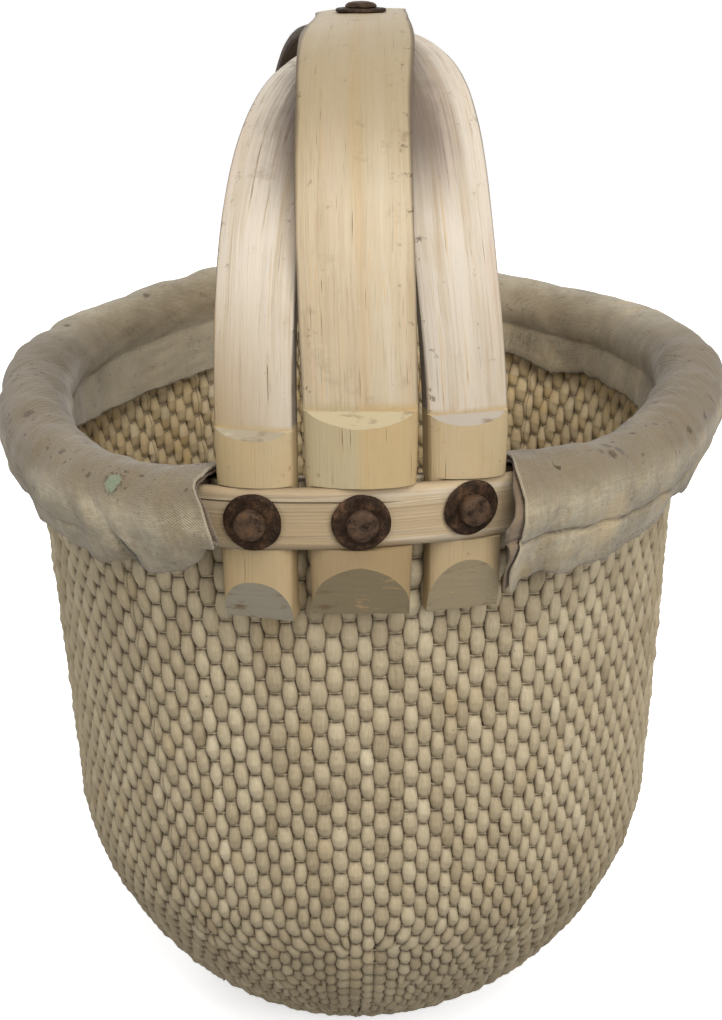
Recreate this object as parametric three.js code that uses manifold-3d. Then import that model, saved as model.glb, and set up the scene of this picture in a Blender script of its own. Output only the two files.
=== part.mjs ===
// Willow basket: a woven tub with a cloth-bound rim, and three bent wooden handles
// that straddle it, cross at the crown and are nailed through a split-wood hoop.
// Units are millimetres and +Z is up. The front of the basket faces -Y.
import * as THREE from 'three';
import { mergeVertices } from 'three/addons/utils/BufferGeometryUtils.js';
import Module from 'manifold-3d';

const wasm = await Module();
wasm.setup();

// Driving dimensions

// Clearance that touching pieces keep
const CLEAR = 0.3;

// Woven tub: heights are depths below the rim's centre line
const TUB_DEPTH = 443.5;
const TUB_WALL = 7;
const TUB_FLOOR = 8;
const TUB_TOP = 13;
const TUB_HALF_WIDTH = 193.6;
const TUB_WAIST = 188.4;
const TUB_WAIST_DEPTH = 258;
const TUB_STRETCH = 0.093;
const TUB_SHIFT = -8;
const RIM_HOLD = 60;
const BOWL_ROUND = 1.27;
const BOWL_FILL = 1.6;
const BASE_HALF_WIDTH = 85;
const BASE_HALF_LENGTH = 59;
const BASE_FADE = 4;
const SWAY_TOP = -3.2;
const SWAY_BELLY = 9;
const SWAY_BASE = -3;

// The weave stands out of the wall and back into it by turns, below the feet and above
// the base: its rise each way, and how far round the wall's ends it fades
const WEAVE_RISE = 1.55;
const WEAVE_FADE_TOP = 40;
const WEAVE_FADE_BASE = 24;

// Rim: an oval bent by hand. Each wave goes round a number of times, and pushes the rim
// out and up by its first value at the front and by its second to the side.
const RIM_HALF_WIDTH = 211.3;
const RIM_HALF_LENGTH = 218.7;
const RIM_WAVES = [
  { turns: 2, out: [9.7, -6.6], up: [4.5, 0.8] },
  { turns: 3, out: [7.9, -1.2], up: [-0.7, -1.8] },
  { turns: 4, out: [-1.3, -2.1], up: [2.7, 1.4] },
];
const ROLL_RADIUS = 20.7;

// How far round from the middle handle the tub stands back for the feet, in degrees
const FOOT_ROOM_FULL = 17;
const FOOT_ROOM_GONE = 32;

// Hoops: split-wood bands inside and outside the tub's top
const HOOP_HEIGHT = 30.6;
const HOOP_THICK = 4.7;
const INNER_HOOP_HEIGHT = 22;
const INNER_HOOP_DROP = 3;
const HOOP_EDGE = 1;

// Cloth that binds the rim, in two lengths that stop beside the handles. Each has hems
// that hang by their own depths and sway along the rim, and a corner may be torn short.
const CLOTH_THICK = 1.5;
const CLOTH_GAP = 5;
const CLOTH_ARC_STEPS = 9;
const CLOTH_ARC_FROM = -28;
const CLOTH_ARC_TURN = 236;
const HEM_WAVES = 8;
const HEM_SWAY = 2.5;
const HEM_PLACE_OUT = 8.7;
const HEM_PLACE_IN = 18.6;
const HEM_SHOULDER = 15;
const TEAR_ANGLE = 9;
const CLOTHS = [
  { name: 'left', side: -1, hemOut: 29, hemIn: 43, tear: 13 },
  { name: 'right', side: 1, hemOut: 36, hemIn: 35, tear: 0 },
];

// Padding under the cloth, whose round side stops short of the cloth's ends
const PADDING_SET_BACK = 2.5;
const PADDING_HEEL = 15;
const PADDING_ARC_STEPS = 7;
const PADDING_ARC_FROM = -45;
const PADDING_ARC_TURN = 168;

// Handles, from the lowest at the crown to the highest. A strip is widest at its
// shoulders, and its front half bends aside on its way up: once by the first value of
// its sway, and there and back by the second. The top one is cupped at the crown.
const HANDLE_THICK = 7.2;
const FOOT_GAP = 4.5;
const FOOT_THICK = 11;
const FOOT_EDGE = 2;
const FOOT_FILL = 0.09;
const STRIP_CROWN = 0.8;
const STRIP_EDGE = 1;
const SPRING_HEIGHT = 40;
const CROWN_HEIGHT = 216;
const SHOULDER_FROM = 178;
const NECK_REACH = 70;
const THINS_OVER = 90;
const LEDGE_SLOPE = 1.06;
const LEDGE_FULL = 2;
const LEDGE_OVER = 4;
const HANDLES = [
  {
    name: 'left', side: -1, layer: 2, square: 2.4, sway: [-5.5, 2.5], cup: 0,
    endWidth: 34, footWidth: 37.4, shoulderWidth: 39, crownWidth: 38,
    ledge: 47.4, dome: 4.6, bevelTop: -27, footEnd: -50, bevelRun: 8,
  },
  {
    name: 'right', side: 1, layer: 1, square: 2.7, sway: [-1.2, -3.6], cup: 0,
    endWidth: 36, footWidth: 38.8, shoulderWidth: 40, crownWidth: 39,
    ledge: 52, dome: 5.2, bevelTop: -20.5, footEnd: -50.5, bevelRun: 9,
  },
  {
    name: 'center', side: 0, layer: 0, square: 2.75, sway: [-3.6, 0], cup: 2,
    endWidth: 46.5, footWidth: 52.6, shoulderWidth: 57, crownWidth: 51,
    ledge: 57.3, dome: 7, bevelTop: -17.4, footEnd: -46.7, bevelRun: 10.6,
  },
];

// Nails, washers and the crown rivet
const NAIL_RADIUS = 3;
const NAIL_HEAD = 8;
const NAIL_HEAD_HEIGHT = 5.2;
const WASHER_RADIUS = 13.6;
const WASHER_THICK = 2;
const ROVE_RADIUS = 10;
const CLENCH_RADIUS = 5;
const CLENCH_HEIGHT = 2.4;
const WASHER_EDGE = 0.6;
const NAIL_RISE = { left: -1, center: -1.5, right: 1.4 };

// Iron studs under the base, in two facing arcs
const STUD_PROUD = 3.2;
const STUD_HEAD = 4.6;
const STUD_FLAT = 2.6;
const STUD_SHANK = 1.6;
const STUD_DEPTH = 5;
const STUD_RING = 0.93;
const STUD_TURNS = [-49, -11, 17, 37, 68];

// How finely the round shapes are cut
const RING_STEPS = 48;
const ARCH_STEPS = 32;
const DOME_STEPS = 6;
const ROUND_STEPS = 14;
const SMALL_STEPS = 10;

// How far a cutter reaches past what it cuts
const CUT_PAST = 2;
const CUT_CLEAR = 14;

// Derived heights
const RIM_Z = STUD_PROUD + TUB_DEPTH;
const HALF_HOOP = HOOP_THICK / 2;
const HOOP_INNER = -HALF_HOOP - CLEAR;
const UNDER_HOOP = HOOP_HEIGHT / 2 + CLEAR;
const LAYER = HANDLE_THICK + STRIP_CROWN + CLEAR;

// Materials

const willow = new THREE.MeshStandardMaterial({ color: 0xb5a684, roughness: 0.75, metalness: 0 });
const wood = new THREE.MeshStandardMaterial({ color: 0xd2c3a0, roughness: 0.6, metalness: 0 });
const hoopWood = new THREE.MeshStandardMaterial({ color: 0xcabb9a, roughness: 0.65, metalness: 0 });
const cloth = new THREE.MeshStandardMaterial({ color: 0x9a917c, roughness: 0.95, metalness: 0 });
const wadding = new THREE.MeshStandardMaterial({ color: 0x8d8570, roughness: 1, metalness: 0 });
const iron = new THREE.MeshStandardMaterial({ color: 0x4a3630, roughness: 0.7, metalness: 0.5 });

const basket = new THREE.Group();

function addPiece(name, geometry, material) {
  const mesh = new THREE.Mesh(geometry, material);
  mesh.name = name;
  basket.add(mesh);
}

// Small helpers

const radians = THREE.MathUtils.degToRad;
const smooth = THREE.MathUtils.smoothstep;

// Turns a closed skin the right way out, whichever way its sections ran
function facingOut(geometry) {
  const p = geometry.getAttribute('position');
  const index = geometry.getIndex();
  const [a, b, c] = [new THREE.Vector3(), new THREE.Vector3(), new THREE.Vector3()];
  let volume = 0;
  for (let i = 0; i < index.count; i += 3) {
    a.fromBufferAttribute(p, index.getX(i));
    b.fromBufferAttribute(p, index.getX(i + 1));
    c.fromBufferAttribute(p, index.getX(i + 2));
    volume += a.dot(b.cross(c));
  }
  if (volume < 0) {
    for (let i = 0; i < index.count; i += 3) {
      const first = index.getX(i);
      index.setX(i, index.getX(i + 1));
      index.setX(i + 1, first);
    }
  }
  geometry.computeVertexNormals();
  return geometry;
}

// Skins a row of sections, each a closed loop of as many points. A loop of sections
// closes on itself, and an open row is capped with the flat outline of its sections.
function skin(sections, { loop = false, outline = null } = {}) {
  const around = sections[0].length;
  const points = sections.flat().flatMap((p) => [p.x, p.y, p.z]);
  const faces = [];
  const spans = loop ? sections.length : sections.length - 1;
  for (let i = 0; i < spans; i += 1) {
    const next = (i + 1) % sections.length;
    for (let j = 0; j < around; j += 1) {
      const k = (j + 1) % around;
      const [a, b] = [i * around + j, i * around + k];
      const [c, d] = [next * around + k, next * around + j];
      faces.push(a, b, c, a, c, d);
    }
  }
  if (!loop) {
    const last = (sections.length - 1) * around;
    for (const [a, b, c] of THREE.ShapeUtils.triangulateShape(outline, [])) {
      faces.push(c, b, a);
      faces.push(last + a, last + b, last + c);
    }
  }
  const geometry = new THREE.BufferGeometry();
  geometry.setAttribute('position', new THREE.Float32BufferAttribute(points, 3));
  geometry.setIndex(faces);
  return facingOut(geometry);
}

function toSolid(geometry) {
  const bare = geometry.clone();
  bare.deleteAttribute('normal');
  bare.deleteAttribute('uv');
  const merged = mergeVertices(bare, 1e-4);
  return new wasm.Manifold(new wasm.Mesh({
    numProp: 3,
    vertProperties: new Float32Array(merged.getAttribute('position').array),
    triVerts: new Uint32Array(merged.getIndex().array),
  }));
}

function toGeometry(solid) {
  const cut = solid.getMesh();
  const geometry = new THREE.BufferGeometry();
  geometry.setAttribute('position', new THREE.BufferAttribute(cut.vertProperties, 3));
  geometry.setIndex(new THREE.BufferAttribute(cut.triVerts, 1));
  geometry.computeVertexNormals();
  return geometry;
}

function cutAway(geometry, cutters) {
  const left = cutters.reduce((rest, cutter) => rest.subtract(toSolid(cutter)), toSolid(geometry));
  return toGeometry(left);
}

// A solid of revolution about a line: the profile's first value is its radius and its
// second its place along the direction
function turned(profile, place, direction, steps = ROUND_STEPS) {
  const geometry = new THREE.LatheGeometry(profile.map(([r, h]) => new THREE.Vector2(r, h)), steps);
  const turn = new THREE.Quaternion().setFromUnitVectors(new THREE.Vector3(0, 1, 0), direction);
  geometry.applyQuaternion(turn);
  geometry.translate(place.x, place.y, place.z);
  const bare = new THREE.BufferGeometry();
  bare.setAttribute('position', geometry.getAttribute('position'));
  bare.setIndex(geometry.getIndex());
  return facingOut(withoutSlivers(mergeVertices(bare, 1e-4)));
}

// Drops the empty triangles that a profile leaves where it meets its axis
function withoutSlivers(geometry) {
  const index = geometry.getIndex();
  const kept = [];
  for (let i = 0; i < index.count; i += 3) {
    const [a, b, c] = [index.getX(i), index.getX(i + 1), index.getX(i + 2)];
    if (a !== b && b !== c && a !== c) kept.push(a, b, c);
  }
  geometry.setIndex(kept);
  return geometry;
}

// Rim line

function rimWander(angle) {
  const wander = { out: 0, up: 0 };
  for (const wave of RIM_WAVES) {
    const [front, side] = [Math.cos(wave.turns * angle), Math.sin(wave.turns * angle)];
    wander.out += wave.out[0] * front + wave.out[1] * side;
    wander.up += wave.up[0] * front + wave.up[1] * side;
  }
  return wander;
}

// A point beside the rim's centre line, by its distance out from it and up from it
function rimPoint(angle, out, up) {
  const wander = rimWander(angle);
  return new THREE.Vector3(
    (RIM_HALF_WIDTH + wander.out + out) * Math.sin(angle),
    -(RIM_HALF_LENGTH + wander.out + out) * Math.cos(angle),
    RIM_Z + wander.up + up,
  );
}

function rimOutward(angle) {
  const along = rimPoint(angle + 0.01, 0, 0).sub(rimPoint(angle - 0.01, 0, 0));
  return new THREE.Vector3(along.y, -along.x, 0).normalize();
}

// How far the tub stands back from the outer hoop: the feet of the handles fit between
// them, at the front and at the back
function footRoom(angle) {
  const fromHandle = Math.acos(Math.abs(Math.cos(angle)));
  return (FOOT_THICK + CLEAR) * (1 - smooth(fromHandle, radians(FOOT_ROOM_FULL), radians(FOOT_ROOM_GONE)));
}

function tubOut(angle) {
  return HOOP_INNER - footRoom(angle);
}

const ringAngles = Array.from({ length: RING_STEPS }, (_, i) => (i / RING_STEPS) * 2 * Math.PI);

// A band that follows the rim all the way round: its outline is given at each angle
function rimBand(outlineAt) {
  const sections = ringAngles.map((angle) => outlineAt(angle).map(([out, up]) => rimPoint(angle, out, up)));
  return skin(sections, { loop: true });
}

// A length that follows the rim between two angles, with the ring's own steps between,
// apart from a step that nearly meets an end
function rimLength(outlineAt, from, to) {
  const step = radians(360 / RING_STEPS);
  const nearly = 0.1;
  const angles = [from];
  for (let i = Math.ceil(from / step + nearly); i < to / step - nearly; i += 1) angles.push(i * step);
  angles.push(to);
  const sections = angles.map((angle) => outlineAt(angle).map(([out, up]) => rimPoint(angle, out, up)));
  const outline = outlineAt(from).map(([out, up]) => new THREE.Vector2(out, up));
  return skin(sections, { outline });
}

// Woven tub

function tubRadius(depth) {
  const straight = TUB_HALF_WIDTH + (TUB_WAIST - TUB_HALF_WIDTH) * (depth / TUB_WAIST_DEPTH);
  if (depth <= TUB_WAIST_DEPTH) return straight;
  const fall = Math.min((depth - TUB_WAIST_DEPTH) / (TUB_DEPTH - TUB_WAIST_DEPTH), 1);
  const round = Math.max(1 - fall ** BOWL_FILL, 0) ** (1 / BOWL_ROUND);
  return BASE_HALF_WIDTH + (TUB_WAIST - BASE_HALF_WIDTH) * round;
}

// A point on the tub's outer face. The top follows the rim, and the wall eases from the
// rim's wandering oval into a plain one on its way down.
function tubPoint(angle, depth) {
  const fall = THREE.MathUtils.clamp(depth / TUB_DEPTH, 0, 1);
  const top = rimPoint(angle, tubOut(angle), 0);
  const level = 1 - smooth(depth, UNDER_HOOP, TUB_WAIST_DEPTH);
  const radius = tubRadius(Math.max(depth, 0));
  const baseStretch = BASE_HALF_LENGTH / BASE_HALF_WIDTH - 1;
  const long = 1 + TUB_STRETCH * (1 - fall) + baseStretch * fall ** BASE_FADE;
  const plainTop = {
    x: TUB_HALF_WIDTH * Math.sin(angle),
    y: -TUB_HALF_WIDTH * (1 + TUB_STRETCH) * Math.cos(angle) + TUB_SHIFT,
  };
  const sway = SWAY_TOP * (1 - fall) ** 3 + SWAY_BELLY * fall ** 2 * (1 - fall) + SWAY_BASE * fall ** 6;
  const plain = {
    x: radius * Math.sin(angle) + sway,
    y: -radius * long * Math.cos(angle) + TUB_SHIFT * (1 - fall),
  };
  const keep = (1 - fall) ** 2;
  const eased = {
    x: plain.x + (top.x - plainTop.x) * keep,
    y: plain.y + (top.y - plainTop.y) * keep,
  };
  const hold = 1 - smooth(depth, UNDER_HOOP, UNDER_HOOP + RIM_HOLD);
  return new THREE.Vector3(
    eased.x + (top.x - eased.x) * hold,
    eased.y + (top.y - eased.y) * hold,
    RIM_Z + rimWander(angle).up * level - depth,
  );
}

// The same wall, moved in by a distance and kept square to its slope
function tubInset(angle, depth, inset) {
  const point = tubPoint(angle, depth);
  const step = 2;
  const slope = tubRadius(depth) - tubRadius(Math.min(depth + step, TUB_DEPTH));
  const lean = Math.atan2(slope, step);
  const inward = new THREE.Vector3(-point.x, -point.y, 0).normalize();
  point.addScaledVector(inward, inset * Math.cos(lean));
  point.z += inset * Math.sin(lean);
  return point;
}

// Depths at which the wall has a ring of points: close together under the rim, and about
// as far apart as the ring's own steps down the wall and round the bowl
const rimDepths = [-TUB_TOP, ...[0, 0.33, 0.67, 1.1].map((share) => UNDER_HOOP + share * RIM_HOLD)];
const rimEnd = rimDepths[rimDepths.length - 1];
const wallDepths = [1, 2, 3, 4, 5, 6, 7].map((row) => rimEnd + (row / 7) * (TUB_WAIST_DEPTH - rimEnd));
const bowlDepths = [0.14, 0.27, 0.4, 0.53, 0.65, 0.77, 0.876, 0.95].map((share) => (
  TUB_WAIST_DEPTH + share * (TUB_DEPTH - TUB_WAIST_DEPTH)
));
const innerDepths = [...rimDepths, ...wallDepths, ...bowlDepths.slice(0, -1)];
const outerDepths = [...rimDepths, ...wallDepths, ...bowlDepths, TUB_DEPTH];

// How far a point of the weave stands out, by the number of its row and its step round it
function weaveRelief(depth, row, step) {
  const below = smooth(depth, rimEnd - WEAVE_FADE_TOP / 2, rimEnd + WEAVE_FADE_TOP / 2);
  const above = 1 - smooth(depth, TUB_DEPTH - WEAVE_FADE_BASE, TUB_DEPTH - 1);
  return WEAVE_RISE * below * above * ((row + step) % 2 === 0 ? 1 : -1);
}

function tubRing(depth, inset, row = 0) {
  return ringAngles.map((angle, step) => tubInset(angle, depth, inset - weaveRelief(depth, row, step)));
}

function tubSolid() {
  const outer = outerDepths.map((depth, row) => tubRing(depth, 0, row));
  const inner = innerDepths.map((depth, row) => tubRing(depth, TUB_WALL, row));
  const floor = inner[inner.length - 1];
  for (const point of floor) point.z = STUD_PROUD + TUB_FLOOR;
  const sections = [...inner.reverse(), ...outer];
  const outline = outer[outer.length - 1].map((p) => new THREE.Vector2(p.x, p.y));
  return skin(sections, { outline });
}

// The tub filled in, a clearance larger, to shape the backs of the handles' feet
function tubCutter() {
  const sections = [-TUB_TOP - CUT_PAST, ...rimDepths].map((depth) => tubRing(depth, -CLEAR));
  const outline = sections[0].map((p) => new THREE.Vector2(p.x, p.y));
  return skin(sections, { outline });
}

// Hoops

function hoopOutline(inner, outer, height, drop) {
  const [low, high] = [-height / 2 - drop, height / 2 - drop];
  const round = HOOP_EDGE;
  return [
    [inner, low + round], [inner + round, low], [outer - round, low], [outer, low + round],
    [outer, high - round], [outer - round, high], [inner + round, high], [inner, high - round],
  ];
}

function innerHoopFace(angle) {
  return tubOut(angle) - TUB_WALL - CLEAR - HOOP_THICK;
}

function outerHoop() {
  return rimBand(() => hoopOutline(-HALF_HOOP, HALF_HOOP, HOOP_HEIGHT, 0));
}

function innerHoop() {
  return rimBand((angle) => {
    const inner = innerHoopFace(angle);
    return hoopOutline(inner, inner + HOOP_THICK, INNER_HOOP_HEIGHT, INNER_HOOP_DROP);
  });
}

// The notch that the outer hoop lies in, open to the outside
function hoopNotch() {
  const half = HOOP_HEIGHT / 2 + CLEAR;
  const open = FOOT_THICK + CUT_CLEAR;
  return rimBand(() => [[HOOP_INNER, -half], [open, -half], [open, half], [HOOP_INNER, half]]);
}

// Rim cloth and its padding

// Where the tub stands back from the hoop, the roll is wider on its inner side, by a
// little more than the tub stands back, so that its hem also clears the tub
function rollSwell(angle, out) {
  return out < 0 ? out * (1 + (1.08 * footRoom(angle)) / ROLL_RADIUS) : out;
}

// The hem sways along the rim, and rises over the torn corner at the cloth's front end
function hemDepth(piece, depth, angle) {
  const fromEnd = Math.abs(angle - clothAngle(piece.side, 1));
  const tear = piece.tear * (1 - smooth(fromEnd, 0, radians(TEAR_ANGLE)));
  return depth + HEM_SWAY * Math.cos(HEM_WAVES * angle) - tear;
}

function clothOutline(piece, angle) {
  const outerFace = [];
  const innerFace = [];
  for (let i = 0; i <= CLOTH_ARC_STEPS; i += 1) {
    const turn = radians(CLOTH_ARC_FROM + (CLOTH_ARC_TURN * i) / CLOTH_ARC_STEPS);
    outerFace.push([ROLL_RADIUS * Math.cos(turn), ROLL_RADIUS * Math.sin(turn)]);
    const inside = ROLL_RADIUS - CLOTH_THICK;
    innerFace.push([inside * Math.cos(turn), inside * Math.sin(turn)]);
  }
  const hemOut = hemDepth(piece, piece.hemOut, angle);
  const hemIn = piece.hemIn + HEM_SWAY * Math.sin(HEM_WAVES * angle);
  const shoulder = (hemOut - outerFace[0][1]) / 2;
  const outline = [
    [HEM_PLACE_OUT + CLOTH_THICK, -hemOut], [HEM_SHOULDER, -shoulder], ...outerFace,
    [-HEM_PLACE_IN - CLOTH_THICK, -hemIn], [-HEM_PLACE_IN, -hemIn], ...innerFace.reverse(),
    [HEM_SHOULDER - CLOTH_THICK, -shoulder], [HEM_PLACE_OUT, -hemOut],
  ];
  return outline.map(([out, up]) => [rollSwell(angle, out), up]);
}

function paddingOutline(angle) {
  const flat = Math.cos(radians(CLOTH_ARC_TURN / CLOTH_ARC_STEPS / 2));
  const radius = (ROLL_RADIUS - CLOTH_THICK) * flat - CLEAR;
  const back = HALF_HOOP + CLEAR;
  const outline = [[back, -PADDING_HEEL]];
  for (let i = 0; i <= PADDING_ARC_STEPS; i += 1) {
    const turn = radians(PADDING_ARC_FROM + (PADDING_ARC_TURN * i) / PADDING_ARC_STEPS);
    outline.push([radius * Math.cos(turn), radius * Math.sin(turn)]);
  }
  outline.push([back, UNDER_HOOP]);
  return outline.map(([out, up]) => [rollSwell(angle, out), up]);
}

// Handles

// The angle round the rim at which it lies a distance aside of the middle handle, at the
// front (end 1) or at the back (end -1)
function angleAside(aside, end) {
  const centre = end > 0 ? 0 : Math.PI;
  const closeEnough = 12;
  let angle = centre;
  for (let i = 0; i < closeEnough; i += 1) {
    const reach = RIM_HALF_WIDTH + rimWander(angle).out + HOOP_INNER;
    angle = centre + end * Math.asin(aside / reach);
  }
  return angle;
}

// The outer handles stand a gap away from the middle one, and each crosses to the other side
function footAside(handle, end) {
  const central = HANDLES.find((other) => other.side === 0);
  return handle.side * end * ((central.footWidth + handle.footWidth) / 2 + FOOT_GAP);
}

function footAngle(handle, end) {
  return angleAside(footAside(handle, end), end);
}

// The angle at which the cloth stops beside the outermost foot, on the right (1) or left (-1)
function clothAngle(side, end) {
  const foot = HANDLES.find((handle) => handle.side === side * end);
  return angleAside(side * (Math.abs(footAside(foot, end)) + foot.footWidth / 2 + CLOTH_GAP), end);
}

// The line that a handle spans: its middle, its run from back to front and half its length
function handleFrame(handle) {
  const front = rimPoint(footAngle(handle, 1), HOOP_INNER, 0);
  const back = rimPoint(footAngle(handle, -1), HOOP_INNER, 0);
  const span = new THREE.Vector3(front.x - back.x, front.y - back.y, 0);
  const middle = new THREE.Vector3((front.x + back.x) / 2, (front.y + back.y) / 2, 0);
  const reach = span.clone().normalize();
  return { middle, reach, across: new THREE.Vector3(-reach.y, reach.x, 0), half: span.length() / 2 };
}

// The strip's outer face, from foot to foot: straight legs, and a squared arch between
// them. The legs have a section at each end of the notch, and the ledge has one on each
// side of the step from the domed foot to the flat strip.
function handlePath(handle, half) {
  const rise = CROWN_HEIGHT - SPRING_HEIGHT - handle.layer * LAYER;
  const path = [];
  const legs = [handle.footEnd, -UNDER_HOOP, UNDER_HOOP];
  for (const height of legs.filter((leg) => leg < SPRING_HEIGHT - 1)) {
    path.push({ reach: half, height, aside: 0 });
  }
  const bend = ARCH_STEPS / 2;
  const power = 2 / handle.square;
  const turns = Array.from({ length: bend }, (_, i) => (i / bend) * (Math.PI / 2));
  const steps = [LEDGE_FULL, LEDGE_OVER].map((over) => handle.ledge + over - SPRING_HEIGHT);
  for (const step of steps.filter((height) => height > 0)) {
    turns.push(Math.asin((step / rise) ** (1 / power)));
  }
  for (const turn of turns.sort((a, b) => a - b)) {
    path.push({
      reach: half * Math.cos(turn) ** power,
      height: SPRING_HEIGHT + rise * Math.sin(turn) ** power,
      aside: handle.sway[0] * Math.sin(2 * turn) + handle.sway[1] * Math.sin(4 * turn),
    });
  }
  const mirrored = path.map((p) => ({ reach: -p.reach, height: p.height, aside: 0 })).reverse();
  return [...path, { reach: 0, height: SPRING_HEIGHT + rise, aside: 0 }, ...mirrored];
}

function neckShare(point) {
  return 1 - smooth(Math.abs(point.reach), 0, NECK_REACH);
}

// A strip narrows to its foot's end, widens to its shoulders and has a neck at the crown
function stripWidth(handle, point) {
  const foot = smooth(point.height, handle.footEnd, handle.ledge);
  const shoulder = smooth(point.height, SHOULDER_FROM, CROWN_HEIGHT - handle.layer * LAYER);
  const neck = neckShare(point);
  const leg = handle.endWidth + (handle.footWidth - handle.endWidth) * foot;
  const wide = leg + (handle.shoulderWidth - leg) * shoulder;
  return wide + (handle.crownWidth - wide) * neck;
}

// Flat on its inner side with eased edges, and domed on its outer side
function handleOutline(width, thick, dome) {
  const [side, back] = [width / 2, -thick];
  const outline = [
    [-side, back + STRIP_EDGE], [-side + STRIP_EDGE, back],
    [side - STRIP_EDGE, back], [side, back + STRIP_EDGE],
  ];
  for (let i = 0; i <= DOME_STEPS; i += 1) {
    const turn = (Math.PI * i) / DOME_STEPS;
    outline.push([side * Math.cos(turn), -FOOT_EDGE + (dome + FOOT_EDGE) * Math.sin(turn)]);
  }
  return outline;
}

// A handle before its notches, ledges and bevels are cut: half-round at the feet, where
// it is deep enough to reach the sloping tub, and a flat strip over the top
function handleBlank(handle, frame) {
  const path = handlePath(handle, frame.half);
  const sections = path.map((point, i) => {
    const before = path[Math.max(i - 1, 0)];
    const after = path[Math.min(i + 1, path.length - 1)];
    const along = new THREE.Vector2(after.reach - before.reach, after.height - before.height).normalize();
    const normal = new THREE.Vector2(-along.y, along.x).negate();
    const thin = smooth(point.height, SPRING_HEIGHT, SPRING_HEIGHT + THINS_OVER);
    const deep = FOOT_THICK + Math.max(0, (TUB_TOP - point.height) * FOOT_FILL);
    const thick = deep + (HANDLE_THICK - deep) * thin;
    const footed = point.height < handle.ledge + (LEDGE_FULL + LEDGE_OVER) / 2;
    const dome = footed ? handle.dome : STRIP_CROWN - handle.cup * neckShare(point);
    return handleOutline(stripWidth(handle, point), thick, dome).map(([aside, outward]) => {
      const reach = point.reach + normal.x * outward;
      const height = point.height + normal.y * outward;
      return frame.middle.clone()
        .addScaledVector(frame.reach, reach)
        .addScaledVector(frame.across, point.aside + aside)
        .setZ(RIM_Z + height);
    });
  });
  const end = handleOutline(handle.endWidth, FOOT_THICK, handle.dome);
  return skin(sections, { outline: end.map(([u, v]) => new THREE.Vector2(u, v)) });
}

// A straight cut across a foot: its outline is given outward from the strip's face and up
function footCutter(handle, frame, side, outline) {
  const wide = handle.footWidth;
  const sections = [-wide, wide].map((aside) => outline.map(([outward, height]) => frame.middle.clone()
    .addScaledVector(frame.reach, side * (frame.half + outward))
    .addScaledVector(frame.across, aside)
    .setZ(RIM_Z + height)));
  return skin(sections, { outline: outline.map(([u, v]) => new THREE.Vector2(u, v)) });
}

// The sawn ledge slopes down and out from the strip's face
function ledgeCut(handle) {
  const deep = handle.dome + CUT_CLEAR;
  const top = handle.ledge + CUT_CLEAR;
  return [
    [STRIP_CROWN, handle.ledge], [deep, handle.ledge - (deep - STRIP_CROWN) * LEDGE_SLOPE],
    [deep, top], [STRIP_CROWN, top],
  ];
}

// The bevel starts on the dome and takes its run off the foot's end
function bevelCut(handle) {
  const rate = handle.bevelRun / (handle.bevelTop - handle.footEnd);
  const [near, far] = [handle.dome + 1, handle.dome + CUT_CLEAR];
  const top = handle.bevelTop + 1 / rate;
  const under = handle.footEnd - CUT_PAST;
  return [[near, top], [handle.dome - handle.bevelRun - rate * CUT_PAST, under], [far, under], [far, top]];
}

// Nails

const footPlaces = HANDLES.flatMap((handle) => [
  { name: `front_${handle.name}`, handle: handle.name, angle: footAngle(handle, 1) },
  { name: `back_${handle.name}`, handle: handle.name, angle: footAngle(handle, -1) },
]);

// A line through the whole stack of a foot. It starts on the outer hoop's face, which is
// made of flats, and its depth reaches the inner hoop's face under the whole of the rove.
function nailLine(place) {
  const direction = rimOutward(place.angle);
  const centre = rimPoint(place.angle, HALF_HOOP, NAIL_RISE[place.handle]);
  const outer = faceReach(place, centre, direction, () => HALF_HOOP, WASHER_RADIUS);
  const start = centre.clone().addScaledVector(direction, outer.high);
  const inner = faceReach(place, start, direction, innerHoopFace, ROVE_RADIUS);
  return { start, direction, stack: -inner.low };
}

// How far a band's faceted face lies along a direction, within a radius of a line
function faceReach(place, start, direction, faceAt, radius) {
  const across = new THREE.Vector3(-direction.y, direction.x, 0);
  const step = (2 * Math.PI) / RING_STEPS;
  const reach = { low: Infinity, high: -Infinity };
  const samples = 60;
  for (let i = -samples; i <= samples; i += 1) {
    const angle = place.angle + (i / samples) * step;
    const before = Math.floor(angle / step) * step;
    const [a, b] = [before, before + step].map((at) => rimPoint(at, faceAt(at), 0));
    const point = a.lerp(b, (angle - before) / step).sub(start).setZ(0);
    if (Math.abs(point.dot(across)) > radius + 1) continue;
    reach.low = Math.min(reach.low, point.dot(direction));
    reach.high = Math.max(reach.high, point.dot(direction));
  }
  return reach;
}

function drill(radius, { start, direction }, from, to) {
  return turned([[0, from], [radius, from], [radius, to], [0, to]], start, direction, SMALL_STEPS);
}

// A hammered head: a short straight side, then a dome, drawn up to its middle
function roundHead(radius, base, height) {
  const profile = [[radius, base], [radius, base + height * 0.35]];
  for (const turn of [30, 60]) {
    const wide = radius * Math.cos(radians(turn)) ** 0.7;
    profile.push([wide, base + height * (0.35 + 0.65 * Math.sin(radians(turn)))]);
  }
  profile.push([0, base + height]);
  return profile;
}

// A nail from its clenched end, behind the rove, to its head
function nail({ start, direction }, headBase, stack) {
  const inner = -stack - CLEAR * 2 - WASHER_THICK;
  return turned([
    [0, inner - CLENCH_HEIGHT], [CLENCH_RADIUS * 0.7, inner - CLENCH_HEIGHT * 0.8], [CLENCH_RADIUS, inner],
    [NAIL_RADIUS, inner], [NAIL_RADIUS, headBase], ...roundHead(NAIL_HEAD, headBase, NAIL_HEAD_HEIGHT),
  ], start, direction);
}

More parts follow.
